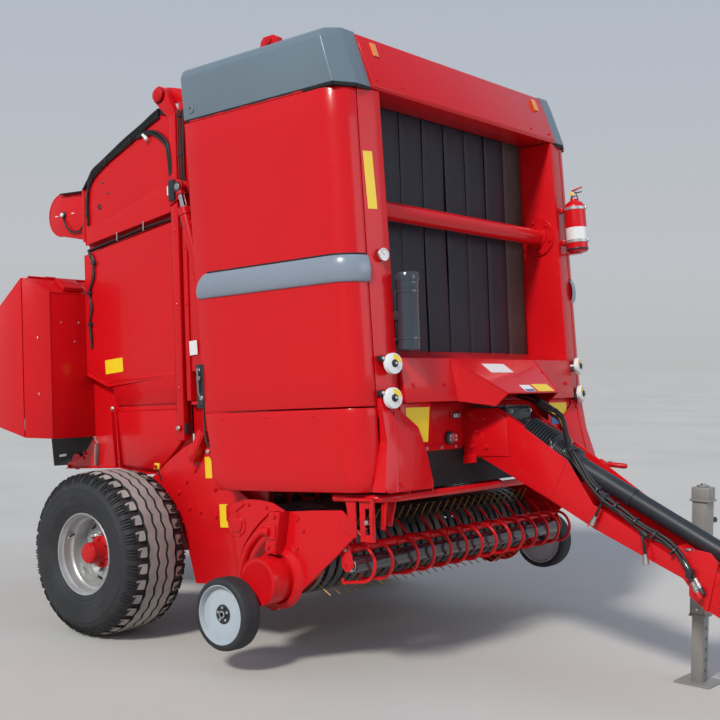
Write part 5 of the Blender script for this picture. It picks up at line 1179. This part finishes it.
# cross tubes, and the strips that the tines run between
p.rod(-.975, .975, (-.935, .345), .0218, RED, n=28); p.rod(-.9765, .9765, (-.905, .560), .016, RED, n=24)
p.done(sharp=28)
p = Part("pickup_strips", "pickup")
strip = [(-.942, .372), (-1.000, .325), (-1.090, .285), (-1.170, .272)] + [(RC[0] + .188 * math.cos(t), RC[1] + .188 * math.sin(t)) for t in [math.radians(-92 - 176 * i / 22) for i in range(23)]] + [(-1.150, .662), (-1.050, .676), (-.960, .684), (-.905, .676), (-.896, .640)]
TX = [-.900 + 1.800 * i / 27 for i in range(28)]
cen = [lerp(a, b, .5) for a, b in zip(TX, TX[1:])] + [-.933, .933]
for x in cen:
    hw = .0215 if abs(x) < .93 else .014; L = len(strip)
    G = []
    for i, (y, z) in enumerate(strip):
        a, b = strip[max(i - 1, 0)], strip[min(i + 1, L - 1)]; ty, tz = b[0] - a[0], b[1] - a[1]; q = math.hypot(ty, tz); ny, nz = (tz / q, -ty / q)
        if ny * (y - RC[0]) + nz * (z - RC[1]) < 0: ny, nz = -ny, -nz
        G.append([(x + u * hw, y - ny * d, z - nz * d) for u, d in ((-1, .008), (-1, .0015), (-.9, 0), (.9, 0), (1, .0015), (1, .008))])
    p.grid(G, DARK if (int(x * 1000) % 3) else RUSTY, thick=.0012)
p.px([(-.950, .366), (-.930, .366), (-.930, .390), (-.950, .390)], -.960, .960, REDC); p.px([(-.915, .640), (-.895, .640), (-.895, .668), (-.915, .668)], -.960, .960, REDC)
p.done(sharp=30)
# reel: shaft, spiders, tine bars with coil tines
p = Part("pickup_reel_core", "pickup_reel", ("pickup_reel",))
p.rod(-.9825, .9825, RC, .0248, DARK, n=28); p.rod(-.940, .940, RC, .0595, DARK, n=36)
for k in range(4):
    t = math.radians(45 + 90 * k); c = (RC[0] + .150 * math.cos(t), RC[1] + .150 * math.sin(t)); p.rod(-.9395, .9395, c, .0155, DARK, n=20)
    u, w = (math.cos(t), math.sin(t)), (-math.sin(t), math.cos(t))
    for x in (-.930, 0, .930):
        q = [(RC[0] + w[0] * a + u[0] * b, RC[1] + w[1] * a + u[1] * b) for a, b in ((.024, .04), (.014, .150), (-.014, .150), (-.024, .04))]; p.px(q, x - .004, x + .004, DARK, bevel=.001)
for x in (-.930, 0, .930): p.ring(x - .006, x + .006, RC, .080, .058, DARK, n=32)
p.done(sharp=35)
p = Part("pickup_tines", "pickup_reel")
for k in range(4):
    t = math.radians(45 + 90 * k); u = Vector((0, math.cos(t), math.sin(t))); w = Vector((0, -math.sin(t), math.cos(t))); c = Vector((0, *RC)) + u * .150
    for i, x in enumerate(TX):
        sg = 1 if i % 2 == 0 else -1; o = c + Vector((x, 0, 0)); coil = []
        for j in range(20):
            a = j / 19 * 4 * math.pi + (math.pi / 2); coil.append(o + Vector((sg * (.0045 + .0042 * j / 19 * 2.2 * -1 + .004), 0, 0)) + (u * math.cos(a) + w * math.sin(a)) * .0185)
        p.tube(coil, .0025, TINE, n=5, caps=False)
        p.tube([coil[0], o + w * .0150 + u * .030, o + w * .0065 + u * .075, o - w * .002 + u * .1145], .0026, TINE, n=6)
p.done(sharp=35)
# wind guard
HC = (-1.588, .428)
HX = [-.900, -.768, -.567, -.436, -.291, -.149, -.011, .122, .259, .392, .528, .658, .775, .900]
p = Part("windguard_hoops", "windguard", ("windguard",))
p.rod(-.950, .950, (-1.575, .505), .0198, RED, n=28)
for i, x in enumerate(HX):
    a = [Vector((x, -1.622 + .084 * math.cos(t), .434 + .084 * math.sin(t))) for t in [math.radians(90 + 180 * j / 20) for j in range(21)]]
    path = [Vector((x, -1.581, .512)), Vector((x, -1.590, .5205))] + a + [Vector((x, -1.585, .3475)), Vector((x, -1.535, .3415)), Vector((x, -1.5095, .3385))] + ([Vector((x, -1.5065, .362))] if i < 2 else [])
    p.tube(fillet(path, .012, 4), .0082, RED, n=14)
    p.lathe((x - .018, -1.575, .505), (1, 0, 0), [(.0198, 0), (.0245, .001), (.0245, .035), (.0198, .036)], RED, n=28); p.bolt((x + .010, -1.598, .512), (0, -1, .15), RED, af=.012, h=.006, w=False)
    xs = TX[min(range(28), key=lambda k: abs(TX[k] + .0333 - x))] + .0333
    p.tube([(xs, -1.572, .515), (xs, -1.548, .548), (xs, -1.505, .592)], .0062, RED, n=10)
for s in (-1, 1):
    X = lambda a, b: sorted((s * a, s * b))
    f = fillet([(0, y, z) for y, z in [(-1.182, .600), (-1.182, .640), (-1.220, .645), (-1.590, .540), (-1.625, .430), (-1.590, .402), (-1.552, .420), (-1.550, .480), (-1.182, .600)]], .016, 4)[:-1]
    p.px([(v.y, v.z) for v in f], *X(.9465, .9565), RED, bevel=.002); p.ring(s * .9565, s * .9605, HC, .027, .0145, RED, n=28); p.rod(s * .9565, s * .983, (-1.200, .620), .0118, ZINC, n=20)
    p.bolt((s * .9565, -1.575, .505), (s, 0, 0), ZINC, af=.018, h=.008)
p.done(sharp=35)
p = Part("crop_roller_tube", "crop_roller", ("crop_roller",))
GLOSS = paint("roller_gloss", (.010, .013, .022), rough=(.10, .2), coat=.8, wave=.02, dust=.15)
p.lathe((-.930, *HC), (1, 0, 0), [(0, 0), (.0380, 0), (.0398, .002), (.0398, 1.858), (.0380, 1.860), (0, 1.860)], GLOSS, n=48)
for s in (-1, 1): p.rod(s * .929, s * .9555, HC, .0138, ZINC, n=20); p.ring(s * .925, s * .933, HC, .030, .014, ZINC, n=24)
for x in (-.62, 0, .62): p.ring(x - .006, x + .006, HC, .0404, .0396, GLOSS, n=40, b=.0004)
p.done(sharp=35)
# gauge wheels
def gl(pp, off, c, prof, mat, **k): pp.lathe((1.206 + off * .875, *c), (1, 0, 0), [(r * .935, h * .875) for r, h in prof], mat, **k)
for s, side, c in ((-1, "right", (-1.045, .2065)), (1, "left", (-1.345, .315))):
    p = Part("gauge_tyre_" + side, "gauge_wheel_" + side, ("gauge_wheel_" + side,), s)
    tr = [(.1490, .058), (.1510, .0618), (.1560, .0632), (.1630, .0636), (.1700, .0625), (.1765, .0580), (.1815, .0500), (.1838, .0400), (.1846, .0200), (.1850, 0)]
    pr = tr + [(r, -h) for r, h in tr[-2::-1]] + [(.1480, -.0560), (.1480, .0560)]
    gl(p, 0, c, pr, TYRE, n=72, loop=True)
    for h in (.030, 0, -.030): gl(p, h, c, [(.1838, -.002), (.1853, -.001), (.1853, .001), (.1838, .002)], TYRE, n=72, loop=True)
    gl(p, 0, c, [(.1482, -.056), (.1505, -.060), (.1505, -.062), (.1470, -.0625), (.1445, -.058), (.1430, -.030), (.1390, .012), (.1430, .030), (.1445, .058), (.1470, .0625), (.1505, .062), (.1505, .060), (.1482, .056)], DISC, n=72, loop=True)
    gl(p, 0, c, [(.1428, .0235), (.1425, .028), (.1350, .0268), (.1250, .0300), (.0900, .0330), (.0480, .0340), (.0480, .0290), (.0900, .0280), (.1250, .0250)], DISC, n=72, loop=True)
    gl(p, 0, c, [(.0480, .0300), (.0500, .0345), (.0470, .0385), (.0400, .0395), (.0360, .0370), (.0250, .0365), (.0240, .0420), (.0205, .0440), (.0205, -.0450), (.0400, -.0450), (.0480, -.0300)], BLACK, n=48, loop=True)
    gl(p, .0430, c, [(.0122, -.004), (.0200, -.001), (.0190, .004), (.0122, .005)], ZINC, n=24, loop=True)
    for k in range(5): t = k * 1.2566 + .3; p.bolt((1.206 + .0328, c[0] + .0313 * math.cos(t), c[1] + .0313 * math.sin(t)), (1, 0, 0), ZINC, af=.013, h=.005, w=False)
    for k in range(4): t = k * 1.5708 + .8; p.bolt((1.206 + .0262, c[0] + .1047 * math.cos(t), c[1] + .1047 * math.sin(t)), (1, 0, 0), DISC, af=.010, h=.003, w=False)
    gl(p, 0, c, [(.1428, -.030), (.1428, -.034), (.0480, -.038), (.0205, -.038), (.0205, -.034), (.0480, -.034)], DISC, n=64, loop=True)
    p.done(sharp=32)
p = Part("crop_curtain", "frame")
p.grid([[(-.785 + 1.57 * i / 40, -1.707 + .0015 * math.sin(i * .9) * (1 - j / 6), .757 + .198 * j / 6) for i in range(41)] for j in range(7)], SEAL, thick=.003)
for s in (-1, 1):
    p.box(min(s * .175, s * .785), max(s * .175, s * .785), -1.7160, -1.7050, .935, .962, RED, bevel=.001)
    for i in range(5): p.bolt((s * (.23 + .125 * i), -1.716, .948), (0, -1, 0), ZINC, af=.013, h=.005)
p.done()
# lift cylinders of the pickup and their hoses, between the frame plates and the pickup
p = Part("pickup_lift_ram", "frame")
for s in (-1, 1):
    a, b = Vector((s * .905, -.780, .780)), Vector((s * .905, -.640, .960)); d = (b - a).normalized()
    p.cyl(a + d * .03, b, .020, RED, n=24); p.cyl(a, a + d * .05, .010, CHROME, n=20); p.cyl(b - Vector((s * .02, 0, 0)), b + Vector((s * .02, 0, 0)), .022, REDC, n=24)
    p.cyl((s * .860, b.y, b.z), (s * .930, b.y, b.z), .011, ZINC, n=20); p.tube(spline([b - d * .02, b + Vector((0, .03, .06)), b + Vector((s * -.02, .06, .15)), b + Vector((s * -.035, .08, .235))], 6), .0058, HOSE, n=8)
p.done()

# ---------------------------------------------------------------- materials of the CAD nodes that stay
KEEP = {"red_paint": RED, "slate_plastic": SLATE, "dark_paint": DARK, "silver_paint": SILVER, "belt_rubber": BELT, "tyre_rubber": TYRE, "hose_rubber": HOSE, "chrome_rod": CHROME, "black_plastic": BLACK, "bare_steel": STEEL}
slot_of = {d["node"]: d["material_slot"] for d in frame["record"]["subparts"]}
for name, ob in frame["nodes"].items():
    for sl in ob.material_slots: sl.link = 'OBJECT'; sl.material = KEEP[slot_of.get(name, "red_paint")]
